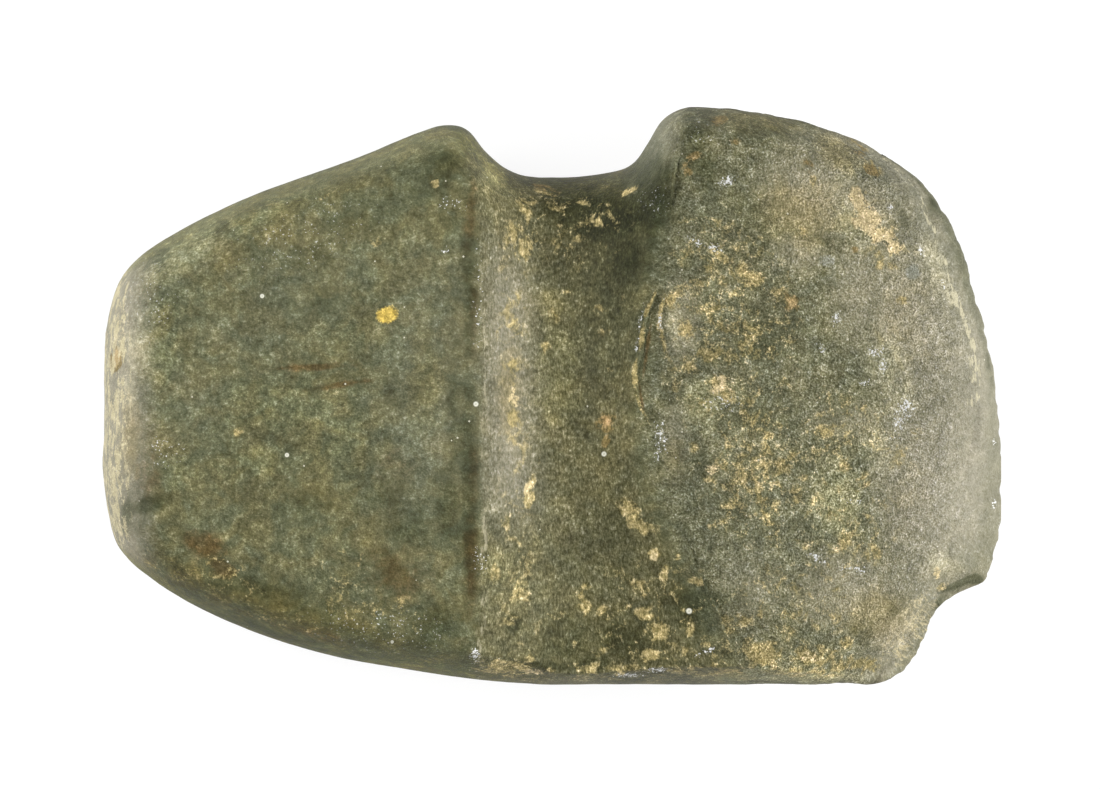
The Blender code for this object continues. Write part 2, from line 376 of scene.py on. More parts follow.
def stone_grid(outline):
    w = crowded_shares(ROWS)
    x, places = station_lines(outline, w)
    back = outline.across("back", x[:, 0])
    notched = outline.across("poll_side", x[:, -1])
    y = back[:, None] + w[None, :] * (notched - back)[:, None]
    place, w = np.broadcast_arrays(places[:, None], w[None, :])
    height, band, gap = (
        a.reshape(x.shape) for a in face_height(outline, x.ravel(), y.ravel(), place.ravel(), w.ravel())
    )
    rim = np.zeros(x.shape, bool)
    rim[0], rim[-1], rim[:, 0], rim[:, -1] = True, True, True, True
    height = np.where(rim, band, height)
    return x, y, height, band, place, w, rim


def build_stone():
    outline = Outline()
    x, y, height, band, place, w, rim = stone_grid(outline)
    lines, rows = x.shape
    front = np.stack([x, y, MIDDLE + height], axis=2).reshape(-1, 3)
    half = (slice(None, None, 2), slice(None, None, 2))
    rear_z = np.maximum(MIDDLE - height - np.where(rim, 0, REAR_BULGE), 0)
    rear = np.stack([x, y, rear_z], axis=2)[half]
    rear_lines, rear_rows = rear.shape[:2]
    rear = rear.reshape(-1, 3)

    ring = [(i, 0) for i in range(lines - 1)]
    ring += [(lines - 1, j) for j in range(rows - 1)]
    ring += [(i, rows - 1) for i in range(lines - 1, 0, -1)]
    ring += [(0, j) for j in range(rows - 1, 0, -1)]
    ring_front = np.array([i * rows + j for i, j in ring])
    ring_rear = np.array([(i // 2) * rear_rows + j // 2 for i, j in ring[::2]]) + len(front)
    ring_spots = np.array([(x[i, j], y[i, j], band[i, j]) for i, j in ring])

    vertices = [front, rear]
    base = len(front) + len(rear)
    levels = [ring_front]
    for level in range(1, BAND_ROWS + 1):
        share = level / (BAND_ROWS + 1)
        z = MIDDLE + ring_spots[:, 2] * (1 - 2 * share)
        vertices.append(np.column_stack([ring_spots[:, :2], z]))
        levels.append(base + np.arange(len(ring)))
        base += len(ring)
    vertices = np.vstack(vertices)

    i, j = np.indices((lines - 1, rows - 1)).reshape(2, -1)
    at = i * rows + j
    quads = [np.column_stack([at, at + rows, at + rows + 1, at + 1])]
    i, j = np.indices((rear_lines - 1, rear_rows - 1)).reshape(2, -1)
    at = i * rear_rows + j + len(front)
    quads.append(np.column_stack([at, at + 1, at + rear_rows + 1, at + rear_rows]))
    for upper, lower in zip(levels, levels[1:]):
        quads.append(np.column_stack([upper, lower, np.roll(lower, -1), np.roll(upper, -1)]))
    quads = np.vstack(quads)
    last = levels[-1]
    middle, ends, after = last[1::2], last[::2], np.roll(last[::2], -1)
    rear_after = np.roll(ring_rear, -1)
    triangles = np.vstack([
        np.column_stack([ends, ring_rear, middle]),
        np.column_stack([middle, ring_rear, rear_after]),
        np.column_stack([middle, rear_after, after]),
    ])
    mesh = bpy.data.meshes.new("stone")
    mesh.vertices.add(len(vertices))
    mesh.vertices.foreach_set("co", vertices.ravel())
    corners = np.concatenate([quads.ravel(), triangles.ravel()])
    mesh.loops.add(len(corners))
    mesh.loops.foreach_set("vertex_index", corners.astype(np.int32))
    starts = np.concatenate([np.arange(len(quads)) * 4, len(quads) * 4 + np.arange(len(triangles)) * 3])
    mesh.polygons.add(len(starts))
    mesh.polygons.foreach_set("loop_start", starts.astype(np.int32))
    mesh.update(calc_edges=True)
    mesh.validate()
    on_front = np.zeros(len(vertices))
    on_front[: len(front)] = 1
    spread = np.zeros((len(vertices), 2))
    spread[: len(front)] = np.column_stack([place.ravel(), w.ravel()])
    spread[len(front) : len(front) + len(rear)] = np.stack([place, w], axis=2)[half].reshape(-1, 2)
    for level in levels[1:]:
        spread[level] = spread[ring_front]
    return mesh, spread, on_front


def on_face(px, py):
    """Where a pixel of the photograph falls on the front face."""
    nearer = 1 - (FACE_HEIGHT - MIDDLE) / CAMERA_HEIGHT
    return (px - PHOTO_MIDDLE[0]) * PIXEL * nearer, (PHOTO_MIDDLE[1] - py) * PIXEL * nearer


def seen_at(points):
    """The photograph's pixel of each point, as the camera above sees it."""
    nearer = 1 - (points[:, 2] - MIDDLE) / CAMERA_HEIGHT
    px = PHOTO_MIDDLE[0] + points[:, 0] / nearer / PIXEL
    py = PHOTO_MIDDLE[1] - points[:, 1] / nearer / PIXEL
    return px, py


# Relief

# Places along the stone: 0 is the poll's end, 1 its crest, 2 the groove's floor, 3 the bit's crest,
# 4 the bevel's crest and 5 the bit's edge. A span gives where it rises and where it falls again.
RELIEF_SPANS = {
    "bit": ((2.8, 3.08), (3.8, 4.05)),
    "groove": ((1.0, 1.25), (2.7, 3.0)),
    "poll": (None, (0.95, 1.05)),
    "edge": ((4.15, 4.7), None),
    "border": ((1.2, 1.5), (3.9, 4.1)),
}
RELIEF_BORDER = (0.05, 0.03)  # middle and width of the back's border, across the stone
CRUSHED_COLUMNS = (114, 160)
FRONT_RISE = (-0.002, 0.004)  # heights over the middle between which the front's relief sets in
FACING = (0.40, 0.90)  # how far a face has to look up for scars and pits
# Areas of the photograph, in pixels: (x, y, half width, half height, turn in degrees)
RUBBED_SMOOTH = (880, 340, 110, 200)
RUBBED_AWAY = 0.6
SPALLED_FACES = [(690, 350, 46, 84), (690, 170, 30, 50)]
CHIP_SCOOP = (915, 626, 44, 20, -52)
CHIP_FIBRES = (908, 630, 42, 20, -58)
POLL_FACETS = (118, 400, 16, 150)
DARK_DENT = (512, 623, 15, 17)

# Lumps over an area: (area, size, stretch, seed, layers, height, level that the form lies at)
TEXTURES = {
    "broad swells": ("stone", 0.026, (1, 1, 1), 1, 2, 0.00008, 0.8),
    "slight waves": ("stone", 0.007, (1, 1, 1), 11, 2, 0.00004, 0),
    "pecking": ("rough bit", 0.0022, (1, 1, 1), 21, 3, 0.00012, 0.4),
    "lumps": ("rough bit", 0.0056, (1, 1, 1), 31, 2, 0.00018, 0.4),
    "spalled faces": ("spalled", 0.0034, (1, 1, 1), 33, 3, 0.00046, 0.3),
    "ribs of the groove": ("groove", 0.0020, (1, 0.35, 1), 41, 2, 0.00003, 0),
    "grain of the poll": ("poll", 0.0018, (1, 1, 1), 51, 2, 0.00003, 0),
    "crush marks": ("crushed", 0.0024, (1, 0.40, 0.7), 61, 3, 0.00010, 0.5),
    "ground edge": ("edge", 0.0016, (1, 1, 1), 71, 2, 0.00009, 0.4),
    "border of the back": ("border", 0.0019, (1, 1, 1), 73, 2, 0.00016, 0.3),
    "tan grains": ("tan", 0.0011, (1, 1, 1), 75, 1, 0.00006, 0),
}
# Pits where the lumps rise above a level: (level, depth)
PITTING = {"pecking": (0.3, 0.00022), "crush marks": (0.2, 0.00026)}

# Scars: (line of pixel points from top to bottom, step in mm, pixels that the step fades over)
SCARS = {
    "flake scar on the bit's crest": (
        [(657, 286), (652, 302), (645, 320), (640, 351), (635, 372), (634, 389), (640, 407), (652, 428)],
        0.5, 16),
    "short ridge inside the flake scar": (
        [(668, 288), (662, 306), (660, 325), (664, 345), (672, 364)], 0.4, 14),
    "lumps below the short ridge": ([(676, 372), (668, 388), (670, 402), (680, 416)], 0.45, 14),
    "corner between groove and bit": (
        [(690, 106), (682, 122), (677, 142), (674, 165), (672, 190), (668, 212)], 0.7, 26),
    "faint crack across the bit": ([(744, 236), (750, 262), (764, 286), (784, 312)], 0.22, 16),
    "wall of the rough hollow": ([(686, 540), (694, 566), (706, 590), (718, 612), (728, 644)], 0.4, 26),
    "edge of the worn lower bit": ([(672, 440), (684, 470), (690, 500), (692, 530)], 0.25, 24),
    "rim of the corner chip": (
        [(978, 580), (957, 586), (938, 596), (918, 610), (905, 628), (896, 646), (888, 664)], 1.1, 26),
}
RIDGES = ("flake scar on the bit's crest", "short ridge inside the flake scar")
RAGGED_SIZE, RAGGED_SEED = 0.0018, 77
SCAR_RAGGED = 1.6  # how far a scar's line wanders, in pixels
LIP = (0.00030, -1.0, 2.4)  # a scar's raised lip: height, and its middle and width in pixels
STEP_RISE = (-0.5, 2.5)
# Pits and hollows: (x, y, radius, depth in mm)
PITS = {
    "ochre pit": (606, 423, 6.5, 0.45),
    "rough hollow": (732, 588, 26, 0.35),
    "dark dent in the groove": (512, 622, 9, 0.12),
    "dark dent on the poll": (150, 505, 15, 0.20),
    "dent under the flake scar": (668, 400, 12, 0.30),
    "dent in the bit's top": (700, 150, 15, 0.20),
    "dent by the grey spot": (916, 272, 7, 0.12),
    "dent at the bit's middle": (770, 400, 18, 0.14),
    "dent above the border": (700, 470, 14, 0.14),
}
PIT_RAGGED = (0.18, 0.002, 81)  # share, size and seed of the noise on a pit's rim
SCOOP_DEPTH, SCOOP_RIBS, SCOOP_RIB_SIZE, SCOOP_SEED = 0.00010, 0.00022, 7.0, 91
FACET_SIZE, FACET_STRETCH, FACET_SEED, FACET_DEPTH = 0.0026, (1, 0.45, 1), 93, 0.00030
FACET_SLOPE = (-0.1, 0.5)


def span(value, rise, fall):
    """1 between a rise and a fall, each given as where it starts and ends, or None."""
    share = 1.0
    if rise:
        share = share * ramp(value, *rise)
    if fall:
        share = share * (1 - ramp(value, *fall))
    return share


def beside(px, py, line):
    """How far right of a line each pixel lies, and a share that fades at the line's ends."""
    xs, ys = np.array(line).T
    ends = span(py, (ys[0], ys[0] + 10), (ys[-1] - 12, ys[-1]))
    return px - np.interp(py, ys, xs), ends


def relief_areas(points, place, w, tan):
    """How strongly each area's relief shows at each point."""
    px, py = seen_at(points)
    up = ramp(points[:, 2] - MIDDLE, *FRONT_RISE)
    areas = {name: span(place, *spans) for name, spans in RELIEF_SPANS.items()}
    areas["stone"] = 1.0
    areas["rough bit"] = areas["bit"] * (1 - RUBBED_AWAY * up * blob(px, py, *RUBBED_SMOOTH))
    areas["spalled"] = up * np.maximum.reduce([blob(px, py, *face) for face in SPALLED_FACES])
    areas["crushed"] = areas["poll"] * span(px, None, CRUSHED_COLUMNS)
    areas["border"] = up * areas["border"] * bell(w, *RELIEF_BORDER)
    areas["tan"] = up * np.clip(tan, 0, 1)
    return areas


def scar_relief(points, px, py):
    """Each scar has a thin raised lip and a step down on its right, which fades away from it."""
    ragged = SCAR_RAGGED * layered_noise(points, RAGGED_SIZE, RAGGED_SEED, 2)
    height, middle, width = LIP
    out = 0
    for line, step, fade in SCARS.values():
        right, ends = beside(px, py, line)
        side = right + ragged
        down = np.where(side > 0, np.exp(-side / fade), 0) * ramp(side, *STEP_RISE)
        out += ends * (height * bell(side, middle, width) - step * 0.001 * down)
    return out


def pit_relief(points, px, py):
    share, size, seed = PIT_RAGGED
    ragged = 1 + share * noise(points, size, seed)
    out = 0
    for x, y, radius, depth in PITS.values():
        away = np.hypot(px - x, py - y) / radius * ragged
        out -= depth * 0.001 * np.clip(1 - away**2, 0, 1)
    return out


def scoop_relief(px, py):
    """The corner chip's hollow, with ribs that run down along the break."""
    along = np.column_stack([px * 0.45 - py * 0.9, px * 0.9 + py * 0.45, np.zeros(len(px))])
    ribs = layered_noise(along * (0.5, 1, 1), SCOOP_RIB_SIZE, SCOOP_SEED, 2)
    return -blob(px, py, *CHIP_SCOOP) * (SCOOP_DEPTH - SCOOP_RIBS * ribs)


def relief(points, normals, place, w, tan):
    """How far each point stands out of the smooth form, in metres. It is nearly all carved inward."""
    px, py = seen_at(points)
    areas = relief_areas(points, place, w, tan)
    out = 0
    for name, (area, size, stretch, seed, layers, height, level) in TEXTURES.items():
        lumps = layered_noise(points * stretch, size, seed, layers)
        out += areas[area] * height * (lumps - level)
        if name in PITTING:
            start, depth = PITTING[name]
            out -= areas[area] * depth * np.clip(lumps - start, 0, 1)
    front = ramp(points[:, 2] - MIDDLE, *FRONT_RISE) * ramp(normals[:, 2], *FACING)
    out += front * (scar_relief(points, px, py) + pit_relief(points, px, py) + scoop_relief(px, py))
    facet = ramp(noise(points * FACET_STRETCH, FACET_SIZE, FACET_SEED), *FACET_SLOPE)
    out += areas["poll"] * blob(px, py, *POLL_FACETS) * FACET_DEPTH * (facet - 1)
    return out


# Marks painted as masks

MASK_SPANS = {
    "bit": ((2.85, 3.1), (3.8, 4.05)),
    "groove": ((1.0, 1.08), (2.75, 3.0)),
    "poll": (None, (0.96, 1.04)),
    "border": ((1.1, 1.3), (3.8, 4.0)),
    "rim": (None, (1.0, 1.8)),
}
# Tints over whole zones: (strength, "around" or "past" a place along the stone, the place's two values,
# then for each change down the photograph its first row, last row, share before and share after)
ZONES = {
    "shade": [
        (0.9, "around", (2.55, 0.5), [(230, 420, 1, 0.3), (150, 190, 0, 1)]),
        (0.9, "around", (2.3, 0.6), [(175, 290, 1, 0), (150, 185, 0, 1)]),
        (1.0, "past", (4.3, 4.7), [(260, 350, 0.80, 0.42)]),
    ],
    # streaks: pale streaks on the bevel's crest and by the poll's crest, partly a painted highlight along
    # them
    "streaks": [
        (0.75, "around", (4.0, 0.035), [(385, 430, 1, 0.1), (235, 280, 0.6, 1)]),
        (0.28, "around", (1.07, 0.05), [(200, 300, 0, 1)]),
    ],
    # pale: the paler bevel, and a painted sheen on the groove's left wall
    "pale": [
        (1.0, "past", (3.65, 4.05), [(260, 400, 0.65, 1), (500, 580, 1, 0.65)]),
        (0.6, "around", (1.35, 0.3), [(200, 320, 0, 1), (470, 560, 1, 0)]),
    ],
    "tan wall": [(0.22, "around", (1.42, 0.20), [(180, 260, 0, 1)])],
}
MARKS_RISE = (0.0, 0.0035)  # heights over the middle between which the front's marks set in
BORDER = (0.030, 0.016)  # middle and width of the tan border along the back, across the stone
BORDER_TAN = 0.45
RIDGE_RAGGED = 1.2  # how far the colour along a ridge wanders, in pixels
RIDGE_TAN = (1.3, -0.5, 1.8)  # strength, and its middle and width in pixels right of the ridge
# A painted shadow just right of each ridge: strength, and its middle and width in pixels right of the ridge
RIDGE_PAINTED_SHADOW = (0.6, 3.0, 1.8)
STRUCK_SIDE = 0.45  # how much of the poll's crush marks its lower half has
CRUSH_COLUMNS, CRUSH_ROWS = (116, 136), ((240, 300), (520, 580))
PALE_END_COLUMNS = (118, 165)
# A painted sheen along the poll's upper rim: strength, and its middle and width across the stone
PAINTED_RIM_SHEEN = (0.32, 0.975, 0.02)
BACK_RIM = (1.0, 0.0, 0.030)
NOTCH_RIM = (0.6, 0.98, 0.03)


def spots_field(px, py, groups):
    field = np.zeros(len(px))
    for spots in groups.values():
        for x, y, half_width, half_height, strength, *turn in spots:
            field = np.maximum(field, strength * blob(px, py, x, y, half_width, half_height, *turn))
    return field


def zone_field(name, place, py):
    """The strongest of a zone's parts at each point."""
    parts = []
    for strength, kind, values, rows in ZONES[name]:
        part = strength * (bell(place, *values) if kind == "around" else ramp(place, *values))
        for first, last, before, after in rows:
            part = part * (before + (after - before) * ramp(py, first, last))
        parts.append(part)
    return np.maximum.reduce(parts)


def weighted_bell(value, strength, middle, width):
    return strength * bell(value, middle, width)


def masks(points, place, w):
    """The share of each colour at each point, by name."""
    px, py = seen_at(points)
    up = ramp(points[:, 2] - MIDDLE, *MARKS_RISE)
    fields = {name: up * spots_field(px, py, groups) for name, groups in MARKS.items()}
    poll, border, rim = (span(place, *MASK_SPANS[name]) for name in ("poll", "border", "rim"))
    for name in ("bit", "groove"):
        fields[name] = span(place, *MASK_SPANS[name])
    for name in ("shade", "streaks", "pale"):
        fields[name] = zone_field(name, place, py)

    fields["tan"] = np.maximum(fields["tan"], up * border * bell(w, *BORDER) * BORDER_TAN)
    fields["tan"] *= 1 - np.clip(1.4 * blob(px, py, *DARK_DENT), 0, 1)
    fields["tan"] = np.maximum(fields["tan"], up * zone_field("tan wall", place, py))
    ragged = RIDGE_RAGGED * layered_noise(points, RAGGED_SIZE, RAGGED_SEED, 2)
    # Tan along each ridge, and a painted shadow just right of it
    for line in RIDGES:
        right, ends = beside(px, py, SCARS[line][0])
        for name, values in (("tan", RIDGE_TAN), ("dark", RIDGE_PAINTED_SHADOW)):
            fields[name] = np.maximum(fields[name], up * ends * weighted_bell(right + ragged, *values))

    struck = poll * (STRUCK_SIDE + (1 - STRUCK_SIDE) * up)
    fields["crushed"] = struck * span(px, None, CRUSH_COLUMNS) * span(py, *CRUSH_ROWS)
    fields["fibres"] = up * blob(px, py, *CHIP_FIBRES)
    fields["rim"] = (weighted_bell(w, *BACK_RIM) + weighted_bell(w, *NOTCH_RIM)) * rim * up
    # The struck end is paler from crush wear, with painted light on it, and a painted sheen runs along the
    # poll's upper rim
    worn_end_and_painted_light = struck * span(px, None, PALE_END_COLUMNS)
    painted_rim_sheen = poll * weighted_bell(w, *PAINTED_RIM_SHEEN)
    fields["pale"] = np.clip(np.maximum.reduce([fields["pale"], worn_end_and_painted_light, painted_rim_sheen]), 0, 1)
    return fields


# Marks on the face, in the photograph's pixels:
# (x, y, half width, half height, strength, turn in degrees where it is turned)
TAN = {
    "small pale marks of the poll": [
        (353, 190, 8, 3, 1, -4), (435, 184, 4, 4, 1.2), (377, 241, 6, 5, 0.8), (330, 194, 14, 4, 0.7, -20),
        (178, 317, 3, 5, 1.2, -20), (238, 432, 5, 4, 0.9), (340, 405, 26, 16, 0.25)],
    "under the granular patch": [
        (900, 250, 14, 8, 0.8, 20), (884, 262, 16, 8, 0.7, 10), (865, 190, 8, 6, 0.6)],
    "rim patches of the back": [
        (765, 655, 30, 12, 1.7, -6), (812, 657, 30, 12, 1.7, 8), (860, 664, 24, 9, 1.7),
        (505, 668, 30, 8, 1.4, 4), (535, 675, 20, 5, 0.6, 2), (798, 636, 10, 7, 0.9), (848, 645, 8, 8, 0.8),
        (640, 672, 26, 4, 0.5, -4), (830, 622, 20, 13, 0.5), (545, 673, 60, 4, 0.7, 2)],
    "patches of the left wall": [
        (522, 208, 8, 16, 0.9, -20), (516, 232, 7, 12, 1.1, -15), (523, 248, 9, 14, 1.1, 10),
        (520, 296, 6, 14, 0.8, -5), (516, 330, 7, 14, 0.8), (513, 370, 6, 16, 1), (512, 408, 7, 22, 1.2),
        (530, 491, 6, 16, 1.3, 8), (507, 522, 8, 10, 1.3, 15), (495, 573, 6, 10, 1.1, 5),
        (538, 462, 4, 6, 1.1), (500, 340, 5, 14, 0.6)],
    "patches of the groove's mouth": [
        (548, 193, 14, 4, 1, 20), (578, 200, 12, 4, 1, 16), (628, 192, 9, 4, 0.9, -15), (532, 202, 6, 5, 1),
        (600, 222, 8, 5, 0.9), (574, 226, 7, 4, 0.9), (546, 200, 6, 5, 0.9, 20), (578, 238, 8, 4, 0.7)],
    "patches of the groove": [
        (555, 318, 6, 13, 1, -15), (600, 308, 9, 6, 0.9), (565, 292, 7, 4, 0.7), (602, 333, 8, 5, 0.8, 10),
        (545, 348, 6, 6, 0.7), (625, 300, 5, 6, 0.5), (608, 372, 5, 5, 0.6), (628, 512, 14, 12, 0.9, 20),
        (644, 526, 17, 8, 1.3, 15), (654, 557, 8, 7, 1.3), (664, 574, 5, 10, 1.2, 15),
        (695, 580, 8, 5, 1, 20), (676, 557, 5, 6, 0.9), (638, 584, 8, 5, 1)],
    "patches of the groove's foot": [
        (584, 601, 10, 16, 1.1, 10), (533, 657, 9, 7, 1.2, 10), (604, 612, 8, 6, 0.8),
        (645, 612, 10, 8, 1.2), (658, 632, 12, 13, 1.5, 25), (650, 656, 10, 7, 1.3), (690, 632, 6, 5, 1.1),
        (600, 650, 10, 6, 1), (576, 648, 6, 8, 0.8), (530, 598, 4, 6, 0.8), (622, 626, 6, 6, 0.7),
        (683, 652, 6, 5, 0.8)],
    "speckled patches of the bit": [
        (722, 388, 22, 14, 1.1, -8), (700, 402, 12, 10, 0.9), (735, 262, 20, 8, 0.9, 24),
        (752, 278, 20, 7, 1, 10), (780, 292, 16, 6, 1.1, 14), (708, 268, 14, 8, 0.9),
        (697, 286, 8, 10, 0.9), (688, 330, 10, 10, 0.9), (690, 362, 10, 10, 0.9), (700, 312, 10, 6, 0.7),
        (724, 284, 8, 8, 0.7), (668, 300, 8, 7, 0.9), (740, 480, 20, 9, 1, -20), (722, 466, 14, 8, 1.1, 10),
        (712, 478, 8, 8, 1), (776, 465, 12, 8, 0.9), (770, 500, 12, 6, 0.7, 20), (728, 502, 10, 6, 0.8),
        (745, 620, 12, 7, 0.8), (843, 545, 9, 12, 1.1), (838, 576, 8, 9, 0.8), (800, 440, 10, 7, 0.8),
        (824, 430, 10, 8, 0.8), (862, 480, 10, 8, 0.7), (896, 456, 8, 7, 1), (916, 434, 7, 6, 0.9),
        (770, 434, 10, 6, 0.8), (690, 448, 10, 5, 0.6), (812, 590, 5, 8, 0.7), (870, 560, 4, 6, 0.9),
        (902, 300, 8, 5, 0.6), (815, 180, 5, 9, 0.7), (759, 422, 12, 7, 0.8), (752, 490, 12, 7, 0.8),
        (759, 514, 12, 7, 0.8), (721, 527, 14, 9, 0.7), (869, 520, 12, 7, 0.7), (777, 569, 9, 7, 0.8),
        (810, 589, 8, 6, 0.8), (848, 466, 9, 8, 0.8), (827, 431, 9, 7, 0.7), (800, 476, 9, 6, 0.8),
        (706, 408, 12, 9, 0.8), (800, 235, 9, 8, 0.6), (722, 232, 10, 6, 0.7), (790, 340, 8, 8, 0.6),
        (745, 350, 8, 8, 0.6)],
    "rim patch": [(856, 148, 14, 10, 0.5, 40), (870, 164, 16, 7, 0.55, 40)],
    "pale spots of the chip's lip": [(938, 574, 5, 7, 0.8), (942, 586, 6, 4, 0.7, -30)],
}
CREAM = {
    "granular patch by the bevel": [
        (858, 202, 8, 16, 1.3, -16), (867, 220, 13, 16, 1.5, -30), (881, 235, 13, 10, 1.4, 25),
        (894, 246, 9, 6, 1.1, 20)],
    "brightest speckles of the bit": [
        (722, 385, 14, 9, 0.75, -10), (712, 470, 8, 5, 0.7), (838, 545, 4, 7, 0.6)],
    "brightest spots of the left wall": [
        (514, 400, 5, 12, 0.7), (529, 489, 4, 12, 0.9, 8), (507, 521, 6, 8, 0.8, 15)],
    "brightest spots of the groove's foot": [
        (654, 557, 4, 5, 0.8), (535, 672, 12, 3, 0.7, 4), (812, 657, 12, 5, 0.6)],
    "spots of the chip's lip": [(938, 574, 4, 6, 0.6), (944, 587, 6, 3, 0.5, -30)],
}
OCHRE = {
    "ochre pit": [(606, 422, 10, 10, 1)],
    "brown under the ochre pit": [(606, 442, 4, 6, 0.9)],
    "rust at the speckles' end": [(793, 303, 7, 9, 1.7), (788, 296, 8, 5, 0.9)],
    "marks of the bit's top": [
        (718, 121, 10, 6, 1.1, -8), (692, 160, 13, 6, 1.1, -30), (689, 171, 5, 5, 1), (735, 140, 8, 5, 0.6)],
    "rim patch": [(858, 152, 10, 7, 0.9, 40), (872, 170, 9, 5, 0.95, 40), (808, 165, 7, 9, 0.5)],
    "spot by the granular patch": [(855, 249, 4, 4, 1.1)],
    "spot of the poll's end": [(115, 358, 5, 14, 2, 8)],
    "notch's lip": [(548, 190, 16, 4, 0.7, 22), (600, 187, 12, 3, 0.5)],
}
ASH = {
    "grey spot": [(913, 272, 9, 9, 1)],
    "pale olive spot": [(827, 262, 11, 10, 0.6)],
}
YELLOW = {
    "yellow grain": [(387, 315, 12, 9.5, 1.2)],
}
RED = {
    "stain right of the flake scar": [(647, 350, 2.5, 36, 0.9, 8), (641, 398, 2.5, 20, 0.9, -10)],
    "stain along the poll's crest": [
        (470, 220, 9, 50, 0.6, 6), (474, 320, 7, 50, 0.4), (474, 470, 8, 60, 0.5), (471, 560, 10, 60, 0.7)],
    "streaks of the poll": [(312, 367, 44, 4, 1.1, -2), (340, 385, 40, 4, 1, -8)],
    "brown zone of the poll": [
        (205, 545, 24, 14, 1.2, 20), (222, 568, 16, 10, 1.2, 30), (150, 470, 16, 40, 0.5)],
    "brown lower poll": [(400, 575, 50, 40, 0.5), (320, 636, 50, 8, 0.5, 14), (395, 470, 30, 40, 0.3)],
}
# Dark stains and blotches, and painted shade: darker in the groove's mouth and foot, along the rims and under
# the corner chip's lip
DARK_STAINS_AND_PAINTED_SHADE = {
    "dark blotches": [
        (148, 505, 24, 12, 1.1, -14), (138, 526, 12, 16, 0.6), (512, 623, 13, 14, 1.2),
        (668, 400, 12, 10, 0.8, 30)],
    "by the poll's crest": [
        (469, 300, 11, 110, 0.8), (468, 480, 14, 150, 1), (448, 505, 20, 60, 0.9), (454, 430, 12, 160, 0.7),
        (445, 165, 30, 22, 0.8, -24), (432, 190, 40, 30, 0.4)],
    # painted shade under the poll's rim
    "under the poll's rim": [
        (330, 232, 100, 22, 0.4, -24), (314, 295, 34, 40, 0.5), (443, 227, 20, 26, 0.5)],
    "dark patches of the poll": [
        (309, 505, 44, 28, 0.6), (309, 258, 40, 24, 0.6, -20), (412, 528, 40, 34, 0.8),
        (390, 495, 30, 22, 0.6), (399, 560, 40, 40, 0.5), (290, 600, 110, 22, 0.55, 18),
        (420, 620, 50, 26, 0.5)],
    "foot of the groove": [
        (690, 605, 40, 34, 0.9), (625, 640, 50, 34, 0.8), (566, 640, 44, 40, 0.8), (560, 560, 60, 40, 0.25)],
    # painted shade in the groove's mouth
    "mouth of the groove": [
        (640, 162, 18, 34, 0.9, 20), (652, 174, 24, 32, 1.1, 20), (706, 168, 16, 32, 0.9),
        (648, 208, 30, 40, 1.2, 20), (600, 216, 60, 30, 1.35), (630, 258, 24, 34, 0.8)],
    "bit's top": [
        (696, 140, 22, 40, 0.9, 10), (735, 200, 30, 20, 0.6, 20), (790, 120, 70, 10, 0.5, 10),
        (905, 222, 10, 20, 0.6, -30)],
    "bit's bright places": [
        (770, 515, 20, 66, 0.45), (839, 412, 24, 24, 0.6), (811, 165, 30, 14, 0.3),
        (478, 460, 30, 14, 0.25), (687, 309, 14, 20, 0.5), (839, 591, 26, 20, 0.45),
        (716, 598, 50, 20, 0.7), (935, 206, 14, 14, 0.8, 40), (760, 129, 60, 14, 0.5, 8),
        (916, 324, 18, 16, 0.3), (990, 366, 8, 40, 0.5)],
    "bit's middle": [
        (760, 340, 60, 50, 0.6), (740, 420, 60, 26, 0.5), (775, 400, 30, 20, 0.5), (740, 520, 50, 30, 0.4),
        (755, 310, 40, 12, 0.6, 10), (700, 460, 30, 60, 0.35)],
    # painted shadow under the corner chip's lip
    "lip of the corner chip": [
        (977, 581, 9, 7, 2.2, 20), (960, 585, 22, 5, 2, -22), (940, 606, 4, 9, 1.4, 20)],
    "bit's lower border": [(720, 640, 90, 16, 0.35), (840, 632, 50, 16, 0.35), (897, 615, 22, 30, 0.4)],
    "under the back's border": [
        (555, 666, 60, 8, 0.9, 2), (590, 664, 34, 12, 1), (700, 630, 30, 14, 0.6), (126, 516, 14, 26, 0.9),
        (275, 634, 70, 10, 0.6, 20), (434, 622, 34, 28, 0.9), (282, 236, 16, 12, 0.5),
        (213, 557, 20, 14, 0.5, 20), (894, 653, 16, 12, 0.4)],
}
# Painted light: broad brightening laid over the stone's colour, on the poll, the groove's walls and the bit
PAINTED_LIGHT = {
    "poll's left and middle": [
        (150, 350, 32, 56, 0.9), (180, 258, 60, 22, 0.9, -34), (262, 216, 70, 12, 0.7, -26),
        (280, 410, 66, 40, 0.6), (262, 460, 30, 24, 0.8), (335, 440, 50, 40, 0.6), (179, 474, 20, 24, 0.6),
        (130, 385, 16, 36, 0.6), (165, 318, 24, 30, 0.5), (225, 470, 40, 24, 0.3), (330, 330, 60, 20, 0.3)],
    "groove": [
        (558, 380, 26, 50, 1.2), (495, 568, 20, 30, 0.7), (520, 590, 20, 20, 0.5), (550, 312, 16, 24, 0.9),
        (516, 596, 24, 16, 0.6), (536, 540, 16, 30, 0.5), (492, 176, 16, 24, 0.9)],
    "bit": [
        (702, 404, 26, 30, 1.2), (687, 261, 12, 12, 0.8), (722, 392, 34, 16, 0.9, -8),
        (884, 360, 30, 28, 0.8), (852, 220, 22, 34, 0.9, -20), (900, 400, 24, 20, 0.7),
        (948, 566, 20, 16, 0.9), (775, 677, 120, 9, 1.1), (935, 265, 16, 40, 0.7, -20),
        (838, 504, 34, 56, 1), (850, 180, 20, 30, 0.5), (683, 122, 16, 14, 0.7), (880, 450, 60, 40, 0.35),
        (760, 330, 30, 20, 0.4), (674, 322, 14, 42, 0.6)],
}
